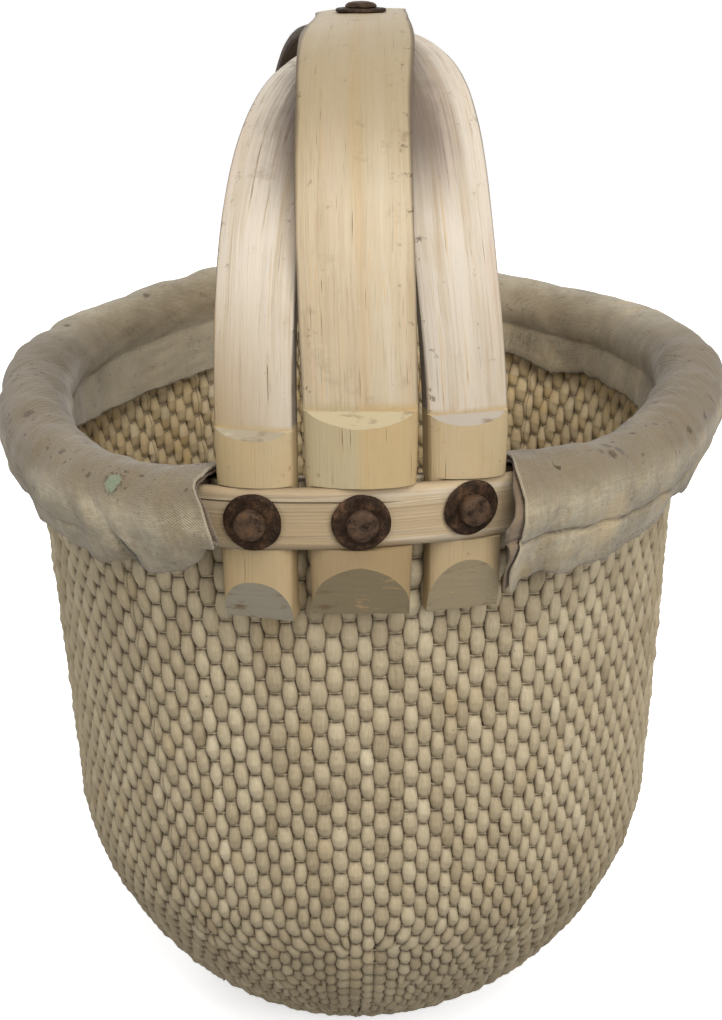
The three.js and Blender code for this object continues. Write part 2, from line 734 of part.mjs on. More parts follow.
function washer({ start, direction }, radius, base, steps = ROUND_STEPS) {
  const hole = NAIL_RADIUS + CLEAR;
  return turned([
    [hole, base], [radius - WASHER_EDGE, base], [radius, base + WASHER_EDGE],
    [radius - WASHER_EDGE, base + WASHER_THICK],
    [hole, base + WASHER_THICK], [hole, base],
  ], start, direction, steps);
}

// The pieces, in the order in which the basket goes together

const nailHoles = footPlaces.map((place) => {
  const line = nailLine(place);
  return drill(NAIL_RADIUS + CLEAR, line, -line.stack - CUT_CLEAR, CUT_CLEAR);
});

function studPlaces() {
  return STUD_TURNS.flatMap((turn) => [turn, turn + 180]).map((turn) => new THREE.Vector3(
    BASE_HALF_WIDTH * STUD_RING * Math.sin(radians(turn)),
    -BASE_HALF_LENGTH * STUD_RING * Math.cos(radians(turn)),
    STUD_PROUD,
  ));
}

const UP = new THREE.Vector3(0, 0, 1);
const studHoles = studPlaces().map((start) => {
  return drill(STUD_SHANK + CLEAR, { start, direction: UP }, -1, STUD_DEPTH + CLEAR);
});

addPiece('woven_body', cutAway(tubSolid(), [...nailHoles, ...studHoles]), willow);
addPiece('inner_hoop', cutAway(innerHoop(), nailHoles), hoopWood);
addPiece('outer_hoop', cutAway(outerHoop(), nailHoles), hoopWood);

const topHandle = HANDLES.find((handle) => handle.layer === 0);
const crown = handleFrame(topHandle).middle.setZ(RIM_Z + CROWN_HEIGHT + STRIP_CROWN - topHandle.cup);
const crownLine = { start: crown, direction: UP };
const CROWN_STACK = HANDLES.length * LAYER - CLEAR - topHandle.cup;
const crownHole = drill(NAIL_RADIUS + CLEAR, crownLine, -CROWN_STACK - CUT_CLEAR, CUT_CLEAR);

const notch = hoopNotch();
const tubShape = tubCutter();
for (const handle of HANDLES) {
  const frame = handleFrame(handle);
  const cuts = [notch, tubShape, crownHole, ...nailHoles];
  for (const side of [1, -1]) {
    cuts.push(footCutter(handle, frame, side, ledgeCut(handle)));
    cuts.push(footCutter(handle, frame, side, bevelCut(handle)));
  }
  addPiece(`handle_${handle.name}`, cutAway(handleBlank(handle, frame), cuts), wood);
}

for (const place of footPlaces) {
  const line = nailLine(place);
  const headBase = CLEAR * 2 + WASHER_THICK;
  addPiece(`washer_${place.name}`, washer(line, WASHER_RADIUS, CLEAR), iron);
  addPiece(`nail_${place.name}`, nail(line, headBase, line.stack), iron);
  const roveBase = -line.stack - CLEAR - WASHER_THICK;
  addPiece(`rove_${place.name}`, washer(line, ROVE_RADIUS, roveBase, SMALL_STEPS), iron);
}

addPiece('crown_washer', washer(crownLine, WASHER_RADIUS, CLEAR), iron);
addPiece('crown_rivet', nail(crownLine, CLEAR * 2 + WASHER_THICK, CROWN_STACK), iron);
const crownRoveBase = -CROWN_STACK - CLEAR - WASHER_THICK;
addPiece('crown_rove', washer(crownLine, ROVE_RADIUS, crownRoveBase, SMALL_STEPS), iron);

for (const piece of CLOTHS) {
  const ends = [clothAngle(piece.side, 1), clothAngle(piece.side, -1)];
  const [start, end] = piece.side > 0 ? ends : [ends[1] - 2 * Math.PI, ends[0]];
  const back = radians(PADDING_SET_BACK);
  const clothAt = (angle) => clothOutline(piece, angle);
  addPiece(`rim_padding_${piece.name}`, rimLength(paddingOutline, start + back, end - back), wadding);
  addPiece(`rim_cloth_${piece.name}`, rimLength(clothAt, start, end), cloth);
}

studPlaces().forEach((start, i) => {
  const stud = turned([
    [0, -STUD_PROUD], [STUD_FLAT, -STUD_PROUD],
    [STUD_HEAD * 0.85, -STUD_PROUD * 0.72], [STUD_HEAD, -CLEAR],
    [STUD_SHANK, -CLEAR], [STUD_SHANK * 0.8, STUD_DEPTH - 1], [0, STUD_DEPTH],
  ], start, UP, SMALL_STEPS);
  addPiece(`base_stud_${i + 1}`, stud, iron);
});

// The origin is under the middle of the whole basket, on the surface that it stands on
const box = new THREE.Box3().setFromObject(basket);
const middle = box.getCenter(new THREE.Vector3());
basket.position.set(-middle.x, -middle.y, 0);

const part = new THREE.Group();
part.add(basket);
export default part;
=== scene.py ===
import math

import bpy
import numpy as np
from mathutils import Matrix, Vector


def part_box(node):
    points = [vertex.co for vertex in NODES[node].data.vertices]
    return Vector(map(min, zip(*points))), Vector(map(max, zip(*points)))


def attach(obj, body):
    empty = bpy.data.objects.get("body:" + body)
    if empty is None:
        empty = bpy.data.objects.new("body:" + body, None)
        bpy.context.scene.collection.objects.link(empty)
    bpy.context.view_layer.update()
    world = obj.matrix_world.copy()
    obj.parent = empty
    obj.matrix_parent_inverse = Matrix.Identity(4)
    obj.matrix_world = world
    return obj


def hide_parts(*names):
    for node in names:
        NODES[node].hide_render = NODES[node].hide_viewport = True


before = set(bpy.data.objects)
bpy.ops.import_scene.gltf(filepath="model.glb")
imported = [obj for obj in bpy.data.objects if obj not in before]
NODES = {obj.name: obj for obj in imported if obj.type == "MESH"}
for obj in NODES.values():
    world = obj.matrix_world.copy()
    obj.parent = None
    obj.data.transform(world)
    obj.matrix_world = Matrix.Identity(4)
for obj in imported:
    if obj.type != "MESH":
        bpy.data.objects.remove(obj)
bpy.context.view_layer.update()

bl_info = {
    "name": "Willow Basket",
    "version": (1, 0, 0),
    "blender": (4, 5, 0),
    "location": "View3D > Sidebar > Basket",
    "description": "A woven willow basket with a cloth-bound rim and three bent handles",
    "category": "Object",
}

TURN = 2 * math.pi

# The waves that add up to an unevenness, each with its own direction and pitch
LUMP_WAVES = 14
LUMP_PITCHES = (0.6, 1.7)
LUMP_SUM = 5

# Every random draw starts from its own number
SEEDS = {
    "weave": 7, "rods": 23, "padding_left": 41, "padding_right": 43, "cloth_left": 51,
    "cloth_right": 61, "hoop_edges": 71, "hoop_faces": 73, "handles": 81, "iron": 100,
}

# Rim line, in metres: an oval with waves, each with its turns and its front and side push
RIM_Z = 0.4467
RIM_HALF_WIDTH = 0.2113
RIM_HALF_LENGTH = 0.2187
RIM_WAVES = (
    (2, (0.0097, -0.0066), (0.0045, 0.0008)),
    (3, (0.0079, -0.0012), (-0.0007, -0.0018)),
    (4, (-0.0013, -0.0021), (0.0027, 0.0014)),
)
ROLL_RADIUS = 0.0207
HALF_HOOP = 0.00235
FOOT_ROOM = 0.0113
FOOT_ROOM_FULL = math.radians(17)
FOOT_ROOM_GONE = math.radians(32)

# Woven tub
TUB_DEPTH = 0.4435
TUB_TOP = 0.013
TUB_HALF_WIDTH = 0.1936
TUB_WAIST = 0.1884
TUB_WAIST_DEPTH = 0.258
TUB_STRETCH = 0.093
TUB_SHIFT = -0.008
TUB_OUT = -0.00265
UNDER_HOOP = 0.0156
RIM_HOLD = 0.06
BOWL_ROUND = 1.27
BOWL_FILL = 1.6
BASE_HALF_WIDTH = 0.085
BASE_HALF_LENGTH = 0.059
SWAYS = (-0.0032, 0.009, -0.003)

# Hoops
HOOP_HEIGHT = 0.0306
INNER_HOOP_HEIGHT = 0.022
INNER_HOOP_DROP = 0.003
TUB_WALL = 0.007

# Handles: heights are over the rim line. A strip is widest at its shoulders, and its
# front half bends aside on its way up, by the first value of its sway once and by the
# second there and back. Its layer counts the strips over it at the crown, where its face
# hollows by its cup and leans by its tilt. Its square says how square its arch is, and
# its ridge how sharp the round of its feet is.
HANDLE_THICK = 0.0072
LAYER = 0.0083
SPRING = 0.04
CROWN_HEIGHT = 0.216
SHOULDER_FROM = 0.178
NECK = (0.03, 0.1)
THINS_OVER = 0.09
FOOT_GAP = 0.0045
FOOT_THICK = 0.011
FOOT_EDGE = 0.002
FOOT_FILL = 0.09
STRIP_CROWN = 0.0008
STRIP_EDGE = 0.001
WOOD_WAVER = 0.012
WOOD_ROUGH = 0.0003
WOOD_FINE = 0.00011
LEDGE_SLOPE = 1.06
LEDGE_STEP = (0.0, 0.0003)
CUT_CLEAR = 0.014
CUT_PAST = 0.002
NAIL_HOLE = 0.0033
STRIPS = {
    "left": {
        "side": -1, "layer": 2, "square": 2.4, "sway": (-0.0055, 0.0025),
        "cup": 0, "tilt": 0, "ridge": 0, "dome": 0.0046,
        "end_width": 0.034, "foot_width": 0.0374, "shoulder_width": 0.039, "crown_width": 0.038,
        "ledge": 0.0474, "bevel_top": -0.027, "foot_end": -0.05, "bevel_run": 0.008,
    },
    "right": {
        "side": 1, "layer": 1, "square": 2.7, "sway": (-0.0012, -0.0036),
        "cup": 0, "tilt": 0, "ridge": 0, "dome": 0.0052,
        "end_width": 0.036, "foot_width": 0.0388, "shoulder_width": 0.04, "crown_width": 0.039,
        "ledge": 0.052, "bevel_top": -0.0205, "foot_end": -0.0505, "bevel_run": 0.009,
    },
    "center": {
        "side": 0, "layer": 0, "square": 2.75, "sway": (-0.0036, 0),
        "cup": 0.002, "tilt": 0.05, "ridge": 0.1, "dome": 0.007,
        "end_width": 0.0465, "foot_width": 0.0526, "shoulder_width": 0.057, "crown_width": 0.051,
        "ledge": 0.0573, "bevel_top": -0.0174, "foot_end": -0.0467, "bevel_run": 0.0106,
    },
}


def smooth(value, low, high):
    """0 up to low, 1 from high on, and a soft step between them."""
    share = np.clip((value - low) / (high - low), 0, 1)
    return share * share * (3 - 2 * share)


def hump(value, width):
    """1 where the value is 0, and nearly gone at twice the width on both sides."""
    return np.exp(-((value / width) ** 2))


def unit(ways):
    """Directions brought to length 1."""
    return ways / np.maximum(np.linalg.norm(ways, axis=-1, keepdims=True), 1e-9)


def lengths_along(line):
    """How far each point of a line lies along it."""
    steps = np.linalg.norm(np.diff(line, axis=0), axis=1)
    return np.concatenate([[0], np.cumsum(steps)])


def points_along(places, lengths, line):
    """The points at these places along a line, whose own points lie at these lengths."""
    return np.stack([np.interp(places, lengths, values) for values in line.T], -1)


def rim_wander(angle):
    """How far the rim's waves take it out and up, by angle from the front."""
    out = up = 0 * angle
    for turns, outs, ups in RIM_WAVES:
        front, side = np.cos(turns * angle), np.sin(turns * angle)
        out = out + outs[0] * front + outs[1] * side
        up = up + ups[0] * front + ups[1] * side
    return out, up


def rim_point(angle, out, up):
    """Points beside the rim's centre line, by their distance out from it and up from it."""
    far, high = rim_wander(angle)
    return np.stack([
        (RIM_HALF_WIDTH + far + out) * np.sin(angle) + SHIFT[0],
        -(RIM_HALF_LENGTH + far + out) * np.cos(angle) + SHIFT[1],
        RIM_Z + high + up + 0 * out,
    ], -1)


def hoop_shift():
    """How far the rim line's own centre stands from the basket's origin."""
    low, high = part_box("outer_hoop")
    ring = rim_point(np.arange(48) / 48 * TURN, HALF_HOOP, 0)
    return [(low[i] + high[i] - ring[:, i].min() - ring[:, i].max()) / 2 for i in (0, 1)]


SHIFT = [0.0, 0.0]
SHIFT = hoop_shift()


def foot_room(angle):
    """How much further in the tub's wall lies, to leave room for the handles' feet."""
    from_handle = np.arccos(np.abs(np.cos(angle)))
    return FOOT_ROOM * (1 - smooth(from_handle, FOOT_ROOM_FULL, FOOT_ROOM_GONE))


def tub_radius(depth):
    """Half the tub's width at a depth: a nearly straight wall, and a bowl under its waist."""
    straight = TUB_HALF_WIDTH + (TUB_WAIST - TUB_HALF_WIDTH) * depth / TUB_WAIST_DEPTH
    fall = np.clip((depth - TUB_WAIST_DEPTH) / (TUB_DEPTH - TUB_WAIST_DEPTH), 0, 1)
    bowl = np.clip(1 - fall**BOWL_FILL, 0, 1) ** (1 / BOWL_ROUND)
    curved = BASE_HALF_WIDTH + (TUB_WAIST - BASE_HALF_WIDTH) * bowl
    return np.where(depth <= TUB_WAIST_DEPTH, straight, curved)


def tub_point(angle, depth):
    """Points on the tub's outer face, by angle from the front and depth under the rim."""
    fall = np.clip(depth / TUB_DEPTH, 0, 1)
    top = rim_point(angle, TUB_OUT - foot_room(angle), 0)
    radius = tub_radius(np.maximum(depth, 0))
    stretch = 1 + TUB_STRETCH * (1 - fall) + (BASE_HALF_LENGTH / BASE_HALF_WIDTH - 1) * fall**4
    sway = SWAYS[0] * (1 - fall) ** 3 + SWAYS[1] * fall**2 * (1 - fall) + SWAYS[2] * fall**6
    x = radius * np.sin(angle) + sway + SHIFT[0]
    y = -radius * stretch * np.cos(angle) + TUB_SHIFT * (1 - fall) + SHIFT[1]
    plain_x = TUB_HALF_WIDTH * np.sin(angle) + SHIFT[0]
    plain_y = -TUB_HALF_WIDTH * (1 + TUB_STRETCH) * np.cos(angle) + TUB_SHIFT + SHIFT[1]
    x = x + (top[..., 0] - plain_x) * (1 - fall) ** 2
    y = y + (top[..., 1] - plain_y) * (1 - fall) ** 2
    hold = 1 - smooth(depth, UNDER_HOOP, UNDER_HOOP + RIM_HOLD)
    level = 1 - smooth(depth, UNDER_HOOP, TUB_WAIST_DEPTH)
    return np.stack([
        x + (top[..., 0] - x) * hold,
        y + (top[..., 1] - y) * hold,
        RIM_Z + rim_wander(angle)[1] * level - depth,
    ], -1)


def roll_point(turn, round_roll):
    """A place on the cloth, by degrees from the front and round the roll from its outside."""
    roll = math.radians(round_roll)
    angle = np.array(math.radians(turn))
    return tuple(rim_point(angle, ROLL_RADIUS * math.cos(roll), ROLL_RADIUS * math.sin(roll)))


def lumps(points, size, seed):
    """A smooth unevenness of about that size, between about -1 and 1, at each point."""
    draw = np.random.default_rng(seed)
    total = np.zeros(points.shape[:-1])
    for _ in range(LUMP_WAVES):
        way = draw.normal(size=3)
        way = way / np.linalg.norm(way)
        pitch = size * draw.uniform(*LUMP_PITCHES)
        total = total + np.sin(points @ way * TURN / pitch + draw.uniform(0, TURN))
    return total / LUMP_SUM


# Materials


def shade(red, green, blue):
    """A colour as it is seen on a screen, from 0 to 255, turned linear."""
    parts = [value / 255 for value in (red, green, blue)]
    return tuple(p / 12.92 if p < 0.04045 else ((p + 0.055) / 1.055) ** 2.4 for p in parts) + (1.0,)


# Marks on the cloth: degrees from the front, degrees round the roll, and radius
MEND = (-29.25, 47, 0.0044)
CLOTH_SPOTS = (
    (-61.25, 77, 0.0018), (-57.5, 71, 0.0032), (-41.5, 65, 0.0022), (-39.25, 52, 0.0014),
    (-33.75, 48, 0.0017), (-44.5, -4, 0.0015), (-43, -12, 0.0013), (-52.25, -15, 0.0015),
    (-109.5, 94, 0.0026), (-132.25, 111, 0.0024), (-79, 92, 0.0022), (36, 79, 0.0026),
    (37.5, 63, 0.003), (35.25, 60, 0.0028), (33.5, 69, 0.002), (56, 40, 0.002), (50.25, 79, 0.0018),
)


class Wire:
    """The number that leaves one shader node, so that sums of numbers read as sums."""

    def __init__(self, finish, socket):
        self.finish = finish
        self.socket = socket

    def sum_with(self, operation, *values):
        return self.finish.add("ShaderNodeMath", values, operation=operation)

    def __add__(self, other):
        return self.sum_with("ADD", self, other)

    __radd__ = __add__

    def __sub__(self, other):
        return self.sum_with("SUBTRACT", self, other)

    def __rsub__(self, other):
        return self.sum_with("SUBTRACT", other, self)

    def __mul__(self, other):
        return self.sum_with("MULTIPLY", self, other)

    __rmul__ = __mul__

    def __pow__(self, other):
        return self.sum_with("POWER", self, other)

    def __abs__(self):
        return self.sum_with("ABSOLUTE", self)

    def least(self, other):
        return self.sum_with("MINIMUM", self, other)

    def most(self, other):
        return self.sum_with("MAXIMUM", self, other)

    def sine(self):
        return self.sum_with("SINE", self)

    def between(self, low, high):
        """0 up to low, 1 from high on, and a soft step between them."""
        settings = {"interpolation_type": "SMOOTHSTEP"}
        return self.finish.add("ShaderNodeMapRange", {0: self, 1: low, 2: high}, **settings)


class Finish:
    """A material under way: its nodes are added by the one method `add`."""

    def __init__(self, name, metallic=0.0, specular=0.5, sheen=0.0):
        self.material = bpy.data.materials.new(name)
        self.material.use_nodes = True
        self.tree = self.material.node_tree
        self.tree.nodes.clear()
        output = self.tree.nodes.new("ShaderNodeOutputMaterial")
        self.shader = self.tree.nodes.new("ShaderNodeBsdfPrincipled")
        self.tree.links.new(self.shader.outputs[0], output.inputs[0])
        self.shader.inputs["Metallic"].default_value = metallic
        self.shader.inputs["Specular IOR Level"].default_value = specular
        self.shader.inputs["Sheen Weight"].default_value = sheen

    def feed(self, socket, value):
        if isinstance(value, Wire):
            self.tree.links.new(value.socket, socket)
        elif hasattr(socket.default_value, "__len__"):
            socket.default_value = tuple(value)[: len(socket.default_value)]
        else:
            socket.default_value = value

    def add(self, kind, values=(), out=0, **settings):
        node = self.tree.nodes.new(kind)
        for name, setting in settings.items():
            if name == "stops":
                self.set_stops(node, setting)
            else:
                setattr(node, name, setting)
        pairs = values.items() if isinstance(values, dict) else enumerate(values)
        for name, value in pairs:
            self.feed(node.inputs[name], value)
        return Wire(self, node.outputs[out])

    def set_stops(self, node, stops):
        ramp = node.color_ramp
        while len(ramp.elements) < len(stops):
            ramp.elements.new(0.5)
        for element, (place, colour) in zip(ramp.elements, stops):
            element.position = place
            element.color = colour

    def place(self):
        return self.add("ShaderNodeTexCoord", out="Object")

    def attribute(self, name, out="Vector"):
        return self.add("ShaderNodeAttribute", out=out, attribute_name=name)

    def stretched(self, vector, scale, offset=(0, 0, 0)):
        return self.add("ShaderNodeMapping", {0: vector, 1: offset, 3: scale})

    def noise(self, vector, scale, detail=3.0, roughness=0.55, out=0):
        values = {"Vector": vector, "Scale": scale, "Detail": detail, "Roughness": roughness}
        return self.add("ShaderNodeTexNoise", values, out=out)

    def part(self, vector, axis):
        return self.add("ShaderNodeSeparateXYZ", [vector], out=axis)

    def ramp(self, value, *stops):
        return self.add("ShaderNodeValToRGB", [value], stops=stops)

    def mix(self, share, first, second, blend="MIX"):
        values = {0: share, 6: first, 7: second}
        return self.add("ShaderNodeMix", values, out=2, data_type="RGBA", blend_type=blend)

    def spot(self, centre, radius, soft=0.35):
        """1 inside a round mark on the surface, 0 outside it."""
        apart = self.add("ShaderNodeVectorMath", [self.place(), centre], operation="DISTANCE", out=1)
        ragged = self.noise(self.place(), 1.1 / radius, 2.0) - 0.5
        return 1 - (apart + ragged * radius * 0.8).between(radius * (1 - soft), radius * (1 + soft))

    def done(self, colour, roughness, height=None, depth=0.0005):
        self.feed(self.shader.inputs["Base Color"], colour)
        self.feed(self.shader.inputs["Roughness"], roughness)
        if height is not None:
            bump = self.add("ShaderNodeBump", {"Strength": 1.0, "Distance": depth, "Height": height})
            self.feed(self.shader.inputs["Normal"], bump)
        return self.material


def willow_finish(look):
    """Weathered rods, with grime and painted shade in the clefts, and browner towards the base."""
    make = Finish("Willow", specular=0.35)
    grain = make.attribute("grain")
    weave = make.attribute("weave", out="Color")
    cleft, tone, warmth = (make.add("ShaderNodeSeparateColor", [weave], out=i) for i in range(3))
    streak = make.noise(make.stretched(grain, (900, 45, 900)), 1.0, 3.0, 0.6)
    fine = make.noise(make.stretched(grain, (2600, 160, 2600)), 1.0, 2.0)
    patch = make.noise(make.place(), 9.0, 3.0)
    mottle = make.noise(make.place(), 70.0, 3.0, 0.6)
    shown = tone * 0.62 + streak * 0.45 + (patch - 0.5) * 0.35 + (mottle - 0.5) * 0.3 - 0.05
    colour = make.ramp(
        shown,
        (0.05, look.willow_dark),
        (0.34, look.willow_mid),
        (0.62, look.willow_light),
        (0.92, look.willow_pale),
    )
    colour = make.mix((warmth - 0.45).most(0) * 0.9, colour, look.willow_warm)
    speck = (make.noise(make.place(), 420.0, 2.0) - 0.7).between(0, 0.06) * 0.45
    colour = make.mix(speck, colour, look.dirt_and_shade)
    crack = abs(make.attribute("split", out="Fac") + (streak - 0.5) * 0.001)
    colour = make.mix((1 - crack.between(0.0001, 0.0005)) * 0.7, colour, look.dirt_and_shade)
    # Grime and painted shade in the clefts between the rods and where the barrels dip under the cords
    colour = make.mix((cleft * 1.15 - streak * 0.12).between(0.12, 0.95), colour, look.dirt_and_shade)
    low = 1 - make.part(make.place(), 2).between(0.09, 0.26)
    colour = make.mix(low * 0.36, colour, look.willow_low)
    height = streak * 0.5 + fine * 0.35 + mottle * 0.4
    return make.done(colour, 0.56 + streak * 0.25, height, 0.0006)


def thread_finish(look):
    """The fine cord between the rods."""
    make = Finish("Weft", specular=0.3)
    patch = make.noise(make.place(), 60.0, 3.0)
    fibre = make.noise(make.place(), 900.0, 2.0)
    colour = make.ramp(patch * 0.7 + fibre * 0.4, (0.3, look.willow_mid), (0.75, look.thread))
    return make.done(colour, 0.75, fibre, 0.0003)


def cloth_finish(look):
    """Old cotton: soiled on top, darker on the basket's inner side, with its spots, its mend and its
    hems.
    """
    make = Finish("Worn cotton", specular=0.2, sheen=0.25)
    grain = make.attribute("grain")
    along, across = make.part(grain, 0), make.part(grain, 1)
    worn = make.attribute("worn", out="Color")
    inside, hem, top = (make.add("ShaderNodeSeparateColor", [worn], out=i) for i in range(3))
    right = make.part(make.place(), 0).between(-0.01, 0.01)
    wobble = make.noise(make.place(), 260.0, 2.0) - 0.5
    warp = (along * (TURN / 0.0012) + wobble * 6).sine()
    weft = (across * (TURN / 0.0012) + wobble * 6).sine()
    twill = ((along - across * 0.8) * (TURN / 0.00135) + wobble * 1.1).sine()
    fresh = 1 - (along + wobble * 0.05).between(0.025, 0.06)
    fresh = fresh * (1 - right * (1 - top * 0.9))
    patch = make.noise(make.place(), 13.0, 4.0, 0.6)
    mottle = make.noise(make.place(), 55.0, 4.0, 0.65)
    slub = make.noise(make.stretched(grain, (70, 900, 1)), 1.0, 3.0)
    gather = make.noise(make.stretched(grain, (330, 45, 1)), 1.0, 3.0, 0.6)
    fuzz = make.noise(make.place(), 480.0, 3.0, 0.7)
    shown = patch * 0.8 + mottle * 0.45 + (slub - 0.5) * 0.25 + (gather - 0.5) * 0.3
    shown = shown + (fuzz - 0.5) * 0.3 + twill * fresh * 0.05 + (warp * weft) * 0.03 - 0.11
    colour = make.ramp(
        shown,
        (0.28, look.cloth_dark),
        (0.5, look.cloth_mid),
        (0.72, look.cloth_light),
    )
    colour = make.mix(inside * 0.55, colour, look.cloth_inside)
    warm = (make.noise(make.place(), 27.0, 3.0, 0.6) - 0.47).between(0, 0.15) * right
    colour = make.mix(warm * (1 - inside) * 0.5, colour, look.cloth_warm)
    stain = (make.noise(make.place(), 21.0, 4.0, 0.7) - 0.56).between(0, 0.12)
    colour = make.mix(stain * 0.35, colour, look.stain)
    colour = make.mix((hem * (0.4 + mottle)).between(0.3, 1.0) * 0.4, colour, look.cloth_dark)
    colour = make.mix((top * (0.5 + mottle * 0.7)).least(1) * 0.95, colour, look.cloth_dark)
    # Painted light: the left cloth's inner flap is made lighter
    flap = across.between(0.085, 0.1) * (1 - right)
    colour = make.mix(flap * 0.6, colour, look.cloth_light)
    speck = (make.noise(make.place(), 210.0, 2.0) - 0.66).between(0, 0.04)
    colour = make.mix(speck * (0.3 + top * 0.5), colour, look.dirt_and_shade)
    dots = (make.noise(make.place(), 900.0, 1.0) - 0.48).between(0, 0.08)
    for turn, round_roll, radius in CLOTH_SPOTS:
        mark = make.spot(roll_point(turn, round_roll), radius)
        colour = make.mix(mark * (0.5 + dots * 0.4), colour, look.dirt_and_shade)
    around = make.spot(roll_point(*MEND[:2]), MEND[2] * 1.4, 0.12)
    colour = make.mix(around * dots * 0.75, colour, look.dirt_and_shade)
    patched = make.spot(roll_point(*MEND[:2]), MEND[2], 0.15) * (0.6 + twill * 0.2 + fuzz * 0.3)
    colour = make.mix(patched.least(1), colour, look.mend)
    under = 1 - along.between(-0.0022, -0.0008)
    colour = make.mix(under * 0.75, colour, look.cloth_under)
    rim = (1 - abs(along + 0.0002).between(0.0004, 0.0013)) * (0.25 + mottle * 0.6)
    colour = make.mix(rim, colour, look.cloth_light)
    stitch = (along * (TURN / 0.0042)).sine().between(0, 0.4)
    stitch = (1 - abs(across - 0.0042).between(0.0003, 0.0008)) * stitch
    colour = make.mix(stitch * right * along.between(0.05, 0.08) * 0.75, colour, look.dirt_and_shade)
    # Painted shade along the crease under the roll, and a painted shadow in the slit where the left
    # cloth laps over itself
    crease = make.attribute("crease", out="Fac")
    colour = make.mix((crease * (0.75 + mottle * 0.5)).least(1), colour, look.dirt_and_shade)
    colour = make.mix((crease - 0.9).between(0, 0.3), colour, look.gap)
    height = (warp + weft) * 0.08 + twill * fresh * 0.2 + mottle * 1.5 + slub * 0.4
    return make.done(colour, 0.93, height + gather * (0.5 + top) + fuzz * 0.5, 0.0005)


def floor_finish(look):
    """Plain pale floor that the camera sees nearly white, with the basket's shadow on it."""
    make = Finish("Floor", specular=0.0)
    seen = make.add("ShaderNodeLightPath", out="Is Camera Ray")
    colour = make.mix(seen, look.floor, (1, 1, 1, 1))
    glow = make.mix(seen, (0, 0, 0, 1), (0.5, 0.5, 0.5, 1))
    make.shader.inputs["Emission Strength"].default_value = 1.0
    make.feed(make.shader.inputs["Emission Color"], glow)
    return make.done(colour, 1.0)


def padding_finish(look):
    """Wadding coloured as painted shade, hardly seen in the hollow beside the cloth's ends."""
    make = Finish("Wadding", specular=0.1)
    fibre = make.noise(make.stretched(make.place(), (90, 90, 400)), 1.0, 4.0, 0.7)
    # Painted shade of the roll's hollow ends
    colour = make.ramp(fibre, (0.35, look.gap), (0.65, look.cloth_dark))
    return make.done(colour, 1.0, fibre, 0.002)


